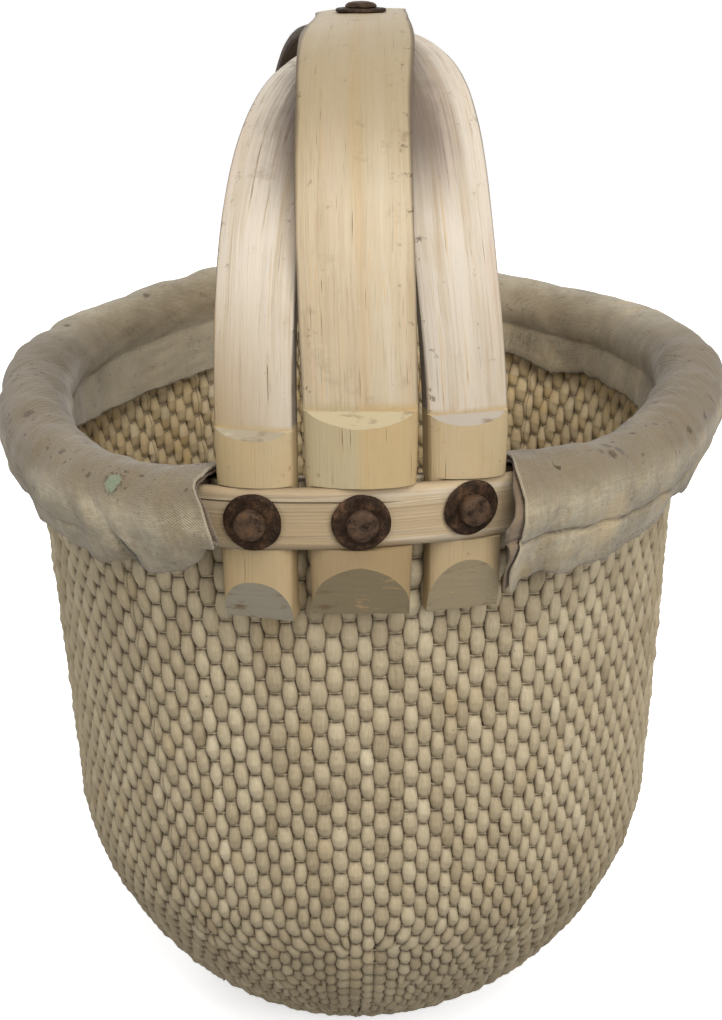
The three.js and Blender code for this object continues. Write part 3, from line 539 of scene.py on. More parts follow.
def wood_finish(look, name, base, shift, inner):
    """Bent split wood: pale, with grain along it and brown grime along its edges. A side
    handle gets painted shade towards its inner edge at the crown, where the middle one covers it."""
    make = Finish(f"Handle wood {name}", specular=0.3)
    place = make.attribute("grain")
    grain = make.stretched(place, (1, 1, 1), shift)
    worn = make.attribute("worn", out="Color")
    edge, crown, foot = (make.add("ShaderNodeSeparateColor", [worn], out=i) for i in range(3))
    bend = make.noise(make.stretched(grain, (9, 5, 9)), 1.0, 2.0, out=1)
    bend = make.stretched(bend, (0.006, 0, 0.006))
    bent = make.add("ShaderNodeVectorMath", [grain, bend], operation="ADD")
    broad = make.noise(make.stretched(bent, (110, 4.5, 110)), 1.0, 3.0)
    line = make.noise(make.stretched(bent, (620, 9, 620)), 1.0, 3.0, 0.65)
    hair = make.noise(make.stretched(bent, (1900, 30, 1900)), 1.0, 2.0)
    patch = make.noise(make.place(), 14.0, 4.0, 0.6)
    fleck = make.noise(make.place(), 150.0, 4.0, 0.7)
    colour = make.ramp(
        broad * 0.55 + line * 0.35 + patch * 0.3 - 0.12,
        (0.3, look.wood_low),
        (0.5, base),
        (0.75, look.wood_pale),
    )
    colour = make.mix((line - 0.57).between(0, 0.12) * 0.5, colour, look.streak)
    wave = make.noise(make.stretched(grain, (0, 5, 0)), 1.0, 2.0) - 0.5
    if inner == 0:
        stripe = 1 - abs(make.part(place, 0) - 0.0015 - wave * 0.012).between(0.0008, 0.0045)
        colour = make.mix(stripe * (0.15 + crown * 0.4), colour, look.streak)
    colour = make.mix((hair - 0.6).between(0, 0.1) * 0.25, colour, look.grain_dark)
    pink = (make.noise(make.stretched(bent, (60, 12, 60)), 1.0, 3.0) - 0.56).between(0, 0.12)
    colour = make.mix(pink * 0.3, colour, look.wood_pink)
    grey = (crown * (0.5 + patch)).between(0.15, 0.95)
    if inner == 0:
        colour = make.mix(grey * 0.75, colour, look.crown_grey)
    else:
        # Painted shade on a side handle towards its inner edge at the crown, beside and under the
        # middle handle
        side = make.part(place, 0) * (inner / 0.02)
        shaded = (side * 0.55 + patch * 0.8 + line * 0.8 - 0.3).between(0, 0.75)
        crown_shade = crown.between(0.06, 0.7) * shaded
        colour = make.mix(crown_shade * 0.95, colour, look.crown_shade)
        low = 1 - (make.part(make.place(), 2) - RIM_Z).between(0.05, 0.13)
        low = low * (0.6 - side * 0.5).most(0).least(1)
        colour = make.mix(low * (patch * 0.5 + (0.7 if inner > 0 else 0.0)), colour, look.wood_low)
    dirt_and_shade = (edge**5 + patch * 0.42 + line * 0.12 - 0.28 + crown * 0.12).between(0.72, 1.04)
    colour = make.mix(dirt_and_shade * 0.75, colour, look.dirt_and_shade)
    chips = (fleck - 0.6).between(0, 0.08) * (edge - 0.55).between(0, 0.4)
    colour = make.mix(chips * 0.7, colour, look.dirt_and_shade)
    smudge = (make.noise(make.place(), 33.0, 4.0, 0.7) - 0.6).between(0, 0.1)
    colour = make.mix(smudge * (0.2 + grey * 0.3), colour, look.grain_dark)
    tint = (patch - 0.5) * 1.6 + 0.35
    # On the middle handle's feet, the left half is tinted grey as a painted sheen and the right half
    # warm
    if inner == 0:
        tint = 0.9 - (make.part(place, 0) + wave * 0.01).between(-0.004, 0.003) * 0.75
    tint = make.mix(tint, look.wood_foot, look.foot_grey)
    colour = make.mix((foot * (0.55 + broad * 0.8)).least(1) * 0.8, colour, tint)
    under = 1 - (make.part(make.place(), 2) - RIM_Z).between(-0.007, 0.004)
    colour = make.mix(under * (patch * 0.3 + (0.7 if inner == 0 else 0.15)), colour, look.foot_low)
    crack = (hair * 0.6 + line * 0.5 - 0.71).between(0, 0.06)
    colour = make.mix(crack * 0.5, colour, look.grain_dark)
    colour = make.mix((fleck - 0.66).between(0, 0.06) * 0.35, colour, look.grain_dark)
    height = line * 0.7 + hair * 0.45 + patch * 0.6 - crack * 0.8 + fleck * 0.25
    return make.done(colour, 0.5 + line * 0.25, height, 0.0005)


def sawn_finish(look, name, ledge, bevel):
    """The sawn faces of the feet: the ledges over the hoop and the bevels under it."""
    make = Finish(f"Sawn wood {name}", specular=0.3)
    grain = make.attribute("grain")
    height = make.part(make.place(), 2)
    line = make.noise(make.stretched(grain, (60, 330, 60)), 1.0, 3.0, 0.6)
    patch = make.noise(make.place(), 60.0, 4.0, 0.6)
    spread = line * 0.5 + patch * 0.6 - 0.03
    dark = look.grain_dark
    low = make.ramp(spread, (0.35, dark), (0.47, bevel), (0.62, bevel), (0.74, look.streak))
    high = make.ramp(spread, (0.33, dark), (0.46, ledge), (0.64, ledge), (0.9, look.wood_pale))
    colour = make.mix((height - RIM_Z).between(-0.01, 0.01), low, high)
    return make.done(colour, 0.6, line + patch, 0.0004)


def hoop_finish(look):
    """The hoops' split wood, with a long split near the top edge and a rusty stain."""
    make = Finish("Hoop wood", specular=0.3)
    grain = make.attribute("grain")
    worn = make.attribute("worn", out="Color")
    edge = make.add("ShaderNodeSeparateColor", [worn])
    line = make.noise(make.stretched(grain, (700, 8, 700)), 1.0, 3.0, 0.6)
    broad = make.noise(make.stretched(grain, (160, 5, 160)), 1.0, 3.0)
    patch = make.noise(make.place(), 22.0, 4.0, 0.6)
    shown = broad * 0.6 + line * 0.3 + patch * 0.35 - 0.12
    colour = make.ramp(shown, (0.28, look.wood_low), (0.5, look.wood_hoop), (0.75, look.wood_pale))
    colour = make.mix((line - 0.58).between(0, 0.1) * 0.45, colour, look.grain_dark)
    wave = make.noise(make.stretched(grain, (0, 11, 0)), 1.0, 2.0) - 0.5
    up, along = make.part(grain, 0), make.part(grain, 1)
    apart = abs(up - 0.0078 - wave * 0.004 + along * 0.008)
    split = (1 - apart.between(0.0002, 0.0006)) * (1 - (along - 0.002).between(0, 0.02))
    colour = make.mix(split * 0.85, colour, look.dirt_and_shade)
    stain = make.spot((0.083, -0.215, RIM_Z - 0.002), 0.012, 0.6)
    colour = make.mix(stain * 0.6, colour, look.iron)
    colour = make.mix((1 - along.between(-0.02, 0.03)) * 0.36, colour, look.hoop_low)
    dirt_and_shade = (edge + patch * 0.3 - 0.18).between(0.86, 1.05)
    colour = make.mix(dirt_and_shade * 0.6, colour, look.grain_dark)
    return make.done(colour, 0.55 + line * 0.2, line + broad - split * 1.5, 0.0005)


def iron_finish(look, name, base):
    """Rusty iron."""
    make = Finish(name, specular=0.2)
    coarse = make.noise(make.place(), 160.0, 5.0, 0.7)
    fine = make.noise(make.place(), 700.0, 3.0, 0.6)
    colour = make.ramp(
        coarse * 0.8 + fine * 0.3 - 0.05,
        (0.32, look.iron_dark),
        (0.52, base),
        (0.7, look.rust),
    )
    make.feed(make.shader.inputs["Metallic"], (0.6 - coarse).between(0, 0.3) * 0.5)
    return make.done(colour, 0.55 + fine * 0.35, coarse + fine * 0.7, 0.0005)


# Making pieces


def keep(piece, node):
    """Every finished piece rides on the basket and stands for a node, which is hidden."""
    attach(piece, "root")
    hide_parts(node)


def piece_of(name, points, faces):
    """A new piece from its points and faces."""
    mesh = bpy.data.meshes.new(name)
    faces = faces.tolist() if hasattr(faces, "tolist") else faces
    mesh.from_pydata(np.asarray(points, float).reshape(-1, 3).tolist(), [], faces)
    piece = bpy.data.objects.new(name, mesh)
    bpy.context.scene.collection.objects.link(piece)
    return piece


def skinned(name, points, faces, material):
    """A smooth piece with its finish."""
    piece = piece_of(name, points, faces)
    piece.data.materials.append(material)
    piece.data.polygons.foreach_set("use_smooth", np.ones(len(piece.data.polygons), bool))
    piece.data.update()
    return piece


def grid_faces(rows, columns, rows_meet=False, columns_meet=True):
    """Faces between points that stand in rows and columns. Where the rows meet, the last
    row joins the first one, and where the columns meet, each row is a ring."""
    i, j = np.meshgrid(
        np.arange(rows if rows_meet else rows - 1),
        np.arange(columns if columns_meet else columns - 1),
        indexing="ij",
    )
    i2, j2 = (i + 1) % rows, (j + 1) % columns
    corners = [i * columns + j, i2 * columns + j, i2 * columns + j2, i * columns + j2]
    return np.stack(corners, -1).reshape(-1, 4)


def turned(quads):
    """The same faces seen from their other side."""
    return quads[:, [0, 3, 2, 1]]


def end_faces(rings, sides):
    """The two faces that close a tube of rings."""
    points = list(range(rings * sides))
    return [points[:sides][::-1], points[-sides:]]


def tube_faces(rings, sides, inside_out):
    """The faces of a tube of rings with both of its ends closed."""
    faces = turned(grid_faces(rings, sides)).tolist() + end_faces(rings, sides)
    return [face[::-1] for face in faces] if inside_out else faces


def write_vectors(piece, name, values):
    layer = piece.data.attributes.new(name, "FLOAT_VECTOR", "POINT")
    layer.data.foreach_set("vector", np.asarray(values, np.float32).ravel())


def write_colours(piece, name, values):
    full = np.ones((len(values), 4), np.float32)
    full[:, :3] = values
    layer = piece.data.attributes.new(name, "FLOAT_COLOR", "POINT")
    layer.data.foreach_set("color", full.ravel())


def write_values(piece, name, values):
    layer = piece.data.attributes.new(name, "FLOAT", "POINT")
    layer.data.foreach_set("value", np.asarray(values, np.float32).ravel())


def only(piece):
    """Selects one piece alone."""
    bpy.ops.object.select_all(action="DESELECT")
    piece.select_set(True)
    bpy.context.view_layer.objects.active = piece


def start_edit(piece):
    """Edit mode with all of one piece selected."""
    only(piece)
    bpy.ops.object.mode_set(mode="EDIT")
    bpy.ops.mesh.select_all(action="SELECT")


def end_edit():
    bpy.ops.object.mode_set(mode="OBJECT")


def rounded(piece, degrees):
    """Smooth faces, with the edges kept that are sharper than this."""
    only(piece)
    bpy.ops.object.shade_smooth_by_angle(angle=math.radians(degrees))


def node_copy(node, name):
    """A copy of a node with its loose triangles merged into one skin."""
    piece = bpy.data.objects.new(name, NODES[node].data.copy())
    piece.data.materials.clear()
    bpy.context.scene.collection.objects.link(piece)
    start_edit(piece)
    bpy.ops.mesh.remove_doubles(threshold=0.00001)
    bpy.ops.mesh.dissolve_limited(angle_limit=math.radians(0.8))
    end_edit()
    return piece


def corners_of(piece):
    """A piece's points, one in each row."""
    points = np.empty(len(piece.data.vertices) * 3, np.float32)
    piece.data.vertices.foreach_get("co", points)
    return points.reshape(-1, 3).astype(float)


# Willow rods and the cords that bind them


class Meridians:
    """The tub's outer face unrolled: every direction from the middle of the base has its
    own line of points, from there to the rim, evenly spaced along it."""

    # The lines round the tub, the points kept on each, and the steps that they are taken from
    AROUND = 360
    ALONG = 260
    WALL_STEPS = 500
    BASE_STEPS = 24

    def __init__(self):
        angles = np.arange(self.AROUND + 1) / self.AROUND * TURN
        rise = np.linspace(0, 1, self.WALL_STEPS) ** 2
        depths = TUB_DEPTH - (TUB_DEPTH + TUB_TOP) * rise
        wall = tub_point(angles[:, None], np.broadcast_to(depths, (len(angles), len(depths))))
        centre = wall[:-1, 0].mean(0)
        flat = np.linspace(0, 1, self.BASE_STEPS)[:-1, None]
        base = centre + (wall[:, :1] - centre) * flat
        self.length = np.empty(len(angles))
        self.points = np.empty((len(angles), self.ALONG, 3))
        for i, line in enumerate(np.concatenate([base, wall], 1)):
            lengths = lengths_along(line)
            self.length[i] = lengths[-1]
            even = np.linspace(0, lengths[-1], self.ALONG)
            self.points[i] = points_along(even, lengths, line)

    def length_at(self, angle):
        at = np.mod(angle / TURN, 1) * self.AROUND
        return np.interp(at, np.arange(self.AROUND + 1), self.length)

    def at(self, angle, along):
        """Points by angle from the front and distance from the middle of the base."""
        column = np.mod(angle / TURN, 1) * self.AROUND
        row = np.clip(along / self.length_at(angle), 0, 1) * (self.ALONG - 1)
        i = np.minimum(column.astype(int), self.AROUND - 1)
        j = np.minimum(row.astype(int), self.ALONG - 2)
        u, v = (column - i)[..., None], (row - j)[..., None]
        low = self.points[i, j] * (1 - u) + self.points[i + 1, j] * u
        high = self.points[i, j + 1] * (1 - u) + self.points[i + 1, j + 1] * u
        return low * (1 - v) + high * v


class Weave:
    """Rings of cord, and rods that run across them. The rings start as one line under the
    base, between the two seams where the rods of both halves meet, and open into the
    rim. Each half spreads its rods evenly along every ring and drops some on the way down."""

    # The levels from one ring to the next, and the points of each half ring
    SUBS = (0.0, 0.1, 0.5, 0.9)
    SPREAD = 700

    # How unevenly wide the rods are, in full from this row on
    UNEVEN = 0.13
    UNEVEN_FROM_ROW = 12

    # The order in which rods drop out, by steps of the golden ratio, over how many rods the
    # last ones thin out, and the share of its width under which a rod is gone
    GOLDEN = 0.618034
    GOLDEN_START = 0.31
    FADE = 6
    ENOUGH = 0.3

    def __init__(self, size):
        self.size = size
        self.face = Meridians()
        self.rows = size.rows
        self.rods = size.rods
        draw = np.random.default_rng(SEEDS["weave"])
        order = np.mod(np.arange(self.rods) * self.GOLDEN + self.GOLDEN_START, 1)
        self.rank = np.argsort(np.argsort(order))
        self.wide = 1 + draw.uniform(-self.UNEVEN, self.UNEVEN, (2, self.rods))
        self.levels = [row + sub for row in range(self.rows) for sub in self.SUBS] + [self.rows]

    def ring(self, level, side):
        """One half ring, finely: from the front round to the back."""
        share = level / self.rows
        turn = np.linspace(0, math.pi, self.SPREAD)
        ends = [self.face.length_at(np.array(at)) for at in (0.0, math.pi, math.pi / 2)]
        seam = self.size.seam
        long = [seam + (end - seam) * share for end in ends[:2]]
        half = np.where(np.cos(turn) > 0, long[0], long[1])
        x = side * ends[2] * share * np.sin(turn)
        y = -half * np.cos(turn)
        angle = np.arctan2(x, -y)
        along = np.hypot(x, y)
        full = np.where(np.cos(angle) > 0, ends[0], ends[1])
        oval = 1 / np.sqrt((np.sin(angle) / ends[2]) ** 2 + (np.cos(angle) / full) ** 2)
        along = along * (1 + (self.face.length_at(angle) / oval - 1) * share)
        return self.face.at(angle, along)

    def place(self):
        """Where every rod crosses every level, how wide it is there and whether it is there.
        A rod that has dropped out leaves its room to the others."""
        shape = (2, len(self.levels), self.rods)
        points, across = np.empty(shape + (3,)), np.empty(shape + (3,))
        width, there = np.empty(shape), np.zeros(shape, bool)
        for h, side in enumerate((-1, 1)):
            for n, level in enumerate(self.levels):
                ring = self.ring(level, side)
                lengths = lengths_along(ring)
                room = lengths[-1] / self.size.pitch
                weight = np.clip((room - self.rank + self.FADE / 2) / self.FADE, 0, 1)
                weight = np.where(weight > self.ENOUGH, weight, 0)
                if level == self.rows:
                    weight = np.ones(self.rods)
                uneven = (self.wide[h] - 1) * smooth(level, 0, self.UNEVEN_FROM_ROW)
                spread = weight * (1 + uneven)
                spread = spread * lengths[-1] / spread.sum()
                middle = np.cumsum(spread) - spread / 2
                points[h, n] = points_along(middle, lengths, ring)
                across[h, n] = points_along(middle, lengths, np.gradient(ring, axis=0))
                width[h, n] = spread
                there[h, n] = weight > self.ENOUGH
        across = unit(across)
        rise = np.gradient(points, axis=1)
        rise = unit(rise - across * (rise * across).sum(-1, keepdims=True))
        normal = np.cross(across, rise)
        normal[0] *= -1
        return points, across, normal, width, there


# A rod's section across and through its thickness, and how deep each point lies in a cleft, which sets
# its grime and painted shade
ROD_SECTION = np.array([
    (-0.65, 0.0), (-0.42, 0.7), (-0.17, 1.0), (0.17, 1.0), (0.42, 0.7),
    (0.65, 0.0), (0.42, -0.7), (0.17, -1.0), (-0.17, -1.0), (-0.42, -0.7),
])
SECTION_DARK = np.array([1.0, 0.3, 0.0, 0.0, 0.3, 1.0, 0.3, 0.0, 0.0, 0.3])

# From a cord (0) to the middle of the barrel that it ends (1)
BARREL_STEPS = (0.0, 0.1, 0.5, 0.9, 1.0)
BARREL_WIDE = (0.72, 0.8, 1.01, 1.13, 1.14)
BARREL_PINCHED = (0.46, 0.58, 0.93, 1.16, 1.18)
BARREL_HIGH = (0.001, 0.0027, 0.0038, 0.0045, 0.0046)
# BARREL_DARK: how much grime and painted shade a barrel gets towards the cords
BARREL_DARK = (1.0, 0.45, 0.05, 0.0, 0.0)

# How the rods differ: the share of pinched and of split ones, and the spread of the rest
PINCHED_SHARE = 0.07
SPLIT_SHARE = 0.06
SLIM_SPREAD = 0.045
PROUD_SPREAD = 0.00035
SLIP_SPREAD = 0.0004
SLIP_MOST = 0.0008

# The inner side of the rods is a little paler and warmer
INNER_TONE = 0.12
INNER_WARMTH = 0.55

# Where each rod and barrel takes its grain from
GRAIN_ROD = 0.11
GRAIN_HALF = 7
GRAIN_ROW = 0.0085
GRAIN_BARREL = 0.31


def weave_rods(size, weave, placed, material):
    """Every rod as one tube, which swells to a barrel between the cords that it dips under."""
    points, across, normal, width, there = placed
    draw = np.random.default_rng(SEEDS["rods"])
    rows, rods = weave.rows, weave.rods
    level = np.array(weave.levels)
    row = np.minimum(level.astype(int), rows - 1)
    sub = level - row
    sides = len(ROD_SECTION)
    outer = ROD_SECTION[:, 1] > 0
    inner = ROD_SECTION[:, 1] < 0
    barrels = (2, rods, rows // 2 + 3)
    tone = np.clip(draw.normal(0.5, 0.1, barrels), 0, 1)
    warmth = np.clip(draw.normal(0.33, 0.12, barrels), 0, 1)
    rod_tone = draw.normal(0, 0.08, (2, rods))
    slim = draw.normal(1, SLIM_SPREAD, barrels)
    pinched = draw.random((2, rods)) < PINCHED_SHARE
    split = draw.random((2, rods)) < SPLIT_SHARE
    proud = draw.normal(0, PROUD_SPREAD, barrels)
    slip = draw.normal(0, SLIP_SPREAD, (2, rods, rows + 1))
    slip = np.clip(slip, -SLIP_MOST, SLIP_MOST)
    for h, half in enumerate(("left", "right")):
        for end, run in (("front", range(0, rods // 2)), ("back", range(rods // 2, rods))):
            all_points, all_faces, all_grain, all_weave, all_splits = [], [], [], [], []
            start = 0
            for k in run:
                here = np.nonzero(there[h, :, k])[0]
                if len(here) < 3:
                    continue
                use = np.arange(here[0], len(level))
                odd = (k + h + row[use]) % 2
                reach = np.where(odd == 0, sub[use], 1 - sub[use])
                barrel = (row[use] + (k + h) % 2) // 2 + 1
                shape = BARREL_PINCHED if pinched[h, k] else BARREL_WIDE
                wide, high, dark = [], [], []
                for part in (reach, 1 - reach):
                    wide.append(np.interp(part, BARREL_STEPS, shape) * slim[h, k, barrel])
                    high.append(np.interp(part, BARREL_STEPS, BARREL_HIGH))
                    dark.append(np.interp(part, BARREL_STEPS, BARREL_DARK)[:, None])
                high[0] = high[0] + proud[h, k, barrel] * reach
                spread = np.where(outer, wide[0][:, None], np.where(inner, wide[1][:, None], 1.0))
                lift = np.where(outer, high[0][:, None], high[1][:, None]) * ROD_SECTION[:, 1]
                x = ROD_SECTION[:, 0] * spread * width[h, use, k][:, None]
                centre = points[h, use, k] - normal[h, use, k] * size.rod_depth
                shifted = slip[h, k, row[use]] * (1 - reach)
                centre = centre + across[h, use, k] * shifted[:, None]
                ring = centre[:, None] + across[h, use, k][:, None] * x[..., None]
                ring = ring + normal[h, use, k][:, None] * lift[..., None]
                grain, look = np.empty(ring.shape), np.empty(ring.shape)
                grain[..., 0] = x + GRAIN_ROD * k + GRAIN_HALF * h
                grain[..., 1] = (level[use] * GRAIN_ROW + GRAIN_BARREL * barrel)[:, None]
                grain[..., 2] = lift
                # The clefts' grime and painted shade
                look[..., 0] = np.maximum(SECTION_DARK, np.where(outer, *dark))
                look[..., 1] = (tone[h, k, barrel] + rod_tone[h, k])[:, None] + INNER_TONE * inner
                look[..., 2] = warmth[h, k, barrel][:, None] + INNER_WARMTH * inner
                all_points.append(ring.reshape(-1, 3))
                all_grain.append(grain.reshape(-1, 3))
                all_weave.append(look.reshape(-1, 3))
                all_splits.append((x if split[h, k] else np.full(x.shape, 1.0)).reshape(-1))
                faces = tube_faces(len(use), sides, h == 1)
                all_faces += [[start + corner for corner in face] for face in faces]
                start += len(use) * sides
            name = f"rods_{half}_{end}"
            piece = skinned(name, np.concatenate(all_points), all_faces, material)
            write_vectors(piece, "grain", np.concatenate(all_grain))
            write_colours(piece, "weave", np.concatenate(all_weave))
            write_values(piece, "split", np.concatenate(all_splits))
            keep(piece, "woven_body")


# A cord: the sides of its round, how flat it is, how far it stands off the rods in its
# own radius, and where it bends round each rod in the rod's width
CORD_SIDES = 5
CORD_FLAT = 1.15
CORD_PUSH = 0.8
CORD_CORNER = 0.3


def weave_cords(size, weave, placed, material):
    """One cord for every ring, in front of each rod that dips there and behind the others."""
    points, across, normal, width, there = placed
    turn = np.arange(CORD_SIDES) / CORD_SIDES * TURN
    for odd, name in enumerate(("cords_even", "cords_odd")):
        all_points, all_faces = [], []
        start = 0
        for row in range(2 - odd, weave.rows, 2):
            n = row * len(weave.SUBS)
            centre, out = [], []
            for h, way in ((1, 1), (0, -1)):
                rods = [k for k in range(weave.rods) if there[h, n, k]][::way]
                for k in rods:
                    at = h, n, k
                    front = 1 if (k + h + row) % 2 == 0 else -1
                    push = front * (BARREL_HIGH[0] + size.thread * CORD_PUSH) - size.rod_depth
                    for aside in (-CORD_CORNER * way, CORD_CORNER * way):
                        corner = points[at] + across[at] * (width[at] * aside)
                        centre.append(corner + normal[at] * push)
                        out.append(normal[at])
            centre = np.array(centre)
            run = unit(np.roll(centre, -1, 0) - np.roll(centre, 1, 0))
            up = unit(np.cross(run, np.array(out)))
            out = np.cross(up, run)
            tube = centre[:, None] + size.thread * (
                up[:, None] * np.cos(turn)[:, None] * CORD_FLAT + out[:, None] * np.sin(turn)[:, None]
            )
            all_points.append(tube.reshape(-1, 3))
            all_faces.append(start + grid_faces(len(centre), CORD_SIDES, rows_meet=True))
            start += len(centre) * CORD_SIDES
        piece = skinned(name, np.concatenate(all_points), np.concatenate(all_faces), material)
        keep(piece, "woven_body")


# Cloth round the rim

CLOTH_ARC = (math.radians(-28), math.radians(208))
HEM_OUT = 0.0102
HEM_IN = -0.0201
SHOULDER_OUT = 0.015

# How deep each hem hangs under the rim line, by degrees from the front, in millimetres
HEMS = {
    "left": {
        "outer": (
            (16.2, 10), (17.3, 10.4), (18, 11.1), (20.3, 19), (21.8, 24), (23.3, 26.5), (25, 28.5),
            (25.8, 29), (27.5, 28), (29, 26.3), (30.8, 25), (33, 30), (36, 27), (49, 27), (90, 31),
            (130, 29), (170, 28),
        ),
        "inner": ((16, 30), (60, 28), (87, 27), (100, 35), (111, 41), (126, 44), (140, 46), (170, 44)),
    },
    "right": {
        "outer": (
            (16, 43), (18.8, 42.5), (21, 38.5), (24.4, 34.5), (26.8, 39), (31, 36), (40, 36), (48, 33),
            (56, 29), (67, 31.5), (90, 34), (130, 36), (170, 34),
        ),
        "inner": (
            (16, 33), (60, 35), (90, 36), (103, 35), (116, 33), (130, 31.5), (139, 38), (148, 31),
            (170, 33),
        ),
    },
}

# How far aside of the middle handle the cloth ends in front, by height, and behind
CLOTH_ENDS = {
    "left": (
        (-0.027, -0.012, -0.002, 0.0116, 0.0172, 0.0192, 0.0203, 0.0212, 0.0235),
        (0.066, 0.0668, 0.0676, 0.0717, 0.0752, 0.0752, 0.0735, 0.0702, 0.067),
    ),
    "right": ((-0.04, -0.027, -0.015, 0.008, 0.0205), (0.0746, 0.0735, 0.0787, 0.081, 0.0761)),
}
CLOTH_BACK = 0.078

# The hem turned in at the front end: its rows by their way back under the cloth, their
# share of the lap that shows past the end, and how deep they lie; and the laps by height
TURNED_IN = (
    (0.0, 1.0, 0.0034), (0.0, 0.5, 0.0033), (0.003, 0.0, 0.0031), (0.0055, 0.0, 0.0028),
    (0.003, 0.0, 0.0025), (0.0006, 0.0, 0.0021), (-0.0003, 0.0, 0.0011),
)
LAPS = {
    "left": ((-0.02, 0.0, 0.015, 0.0205), (0.0015, 0.0012, 0.0008, 0.0)),
    "right": (
        (-0.025, -0.016, -0.007, 0.0013, 0.0155, 0.0205),
        (0.0006, 0.0055, 0.0073, 0.0041, 0.0027, 0.0),
    ),
}

# How ragged the hems are
FRAYED = {"left": 0.0006, "right": 0.0012}

# Where the left cloth laps over itself, by height and degrees from the front, how far the
# upper layer stands out, how far back that is felt, and the painted shadow of the slit beside it
OVERLAP = ((-0.028, -0.0195, -0.0118, -0.007), (27.4, 27.2, 28.0, 29.8))
OVERLAP_STEP = 0.0015
OVERLAP_SOFT = 0.0006
OVERLAP_BACK = 0.013
SLIT_PLACE = 0.0016
SLIT_DARK = 1.8

# The crease under the roll: its height, depth and width, its painted shade line, and how
# strong it is by degrees from the front
CREASE_UP = -0.0135
CREASE_DEEP = 0.0019
CREASE_WIDE = 0.0017
CREASE_LINE = 0.0007
CREASE_DARK = 0.8
CREASES = {
    "left": ((30, 36, 60, 75), (0.0, 0.35, 0.35, 0.0)),
    "right": ((20, 52, 70, 90), (1.0, 0.9, 0.3, 0.15)),
}

# Folds of the outer hem: how far from the cloth's front end, how wide and how far out.
# They lean by this much from the roll to the hem.
FOLDS = {
    "left": (
        (0.004, 0.006, 0.003), (0.062, 0.0035, -0.002), (0.07, 0.006, 0.0024), (0.11, 0.01, 0.0016),
    ),
    "right": (
        (0.012, 0.005, 0.002), (0.028, 0.004, -0.0016), (0.05, 0.009, 0.0022),
        (0.09, 0.006, -0.0012),
    ),
}
FOLD_LEAN = 0.02

# How much the cloth follows the feet's room inside the rim, and how far it lies off the roll
SWELL = 1.08
CLOTH_LIFT = 0.0004

# The cloth's smaller lumps: their size and how far they stand out
CLOTH_LUMPS = ((0.055, 0.0011), (0.012, 0.00035))

# About how long one cloth is, and what its flat piece loses in the folds
CLOTH_LENGTH = math.pi * RIM_HALF_WIDTH - 0.14


def swell(angle, out):
    """The roll's inner side fills the room behind the handles' feet."""
    return np.where(out < 0, out * (1 + SWELL * foot_room(angle) / ROLL_RADIUS), out)


def cloth_profile(hem_out, hem_in, steps):
    """The bound edge's line over the roll, evenly spaced, from its outer to its inner hem."""
    turn = np.linspace(*CLOTH_ARC, 40)
    arc = np.stack([ROLL_RADIUS * np.cos(turn), ROLL_RADIUS * np.sin(turn)], 1)
    shoulder = (SHOULDER_OUT, (arc[0, 1] - hem_out) / 2)
    line = np.concatenate([[(HEM_OUT, -hem_out), shoulder], arc, [(HEM_IN, -hem_in)]])
    lengths = lengths_along(line)
    even = np.linspace(0, lengths[-1], steps)
    return points_along(even, lengths, line), lengths[-1]


def turned_in(name, points, normal, up):
    """The rows before the front end of the cloth, from the turned-in hem's own edge."""
    into = unit(points[1] - points[0])
    lap = np.interp(up, *LAPS[name])[:, None]
    rows = [
        points[0] + into * (back - lap * share) - normal[0] * deep for back, share, deep in TURNED_IN
    ]
    return np.stack(rows)


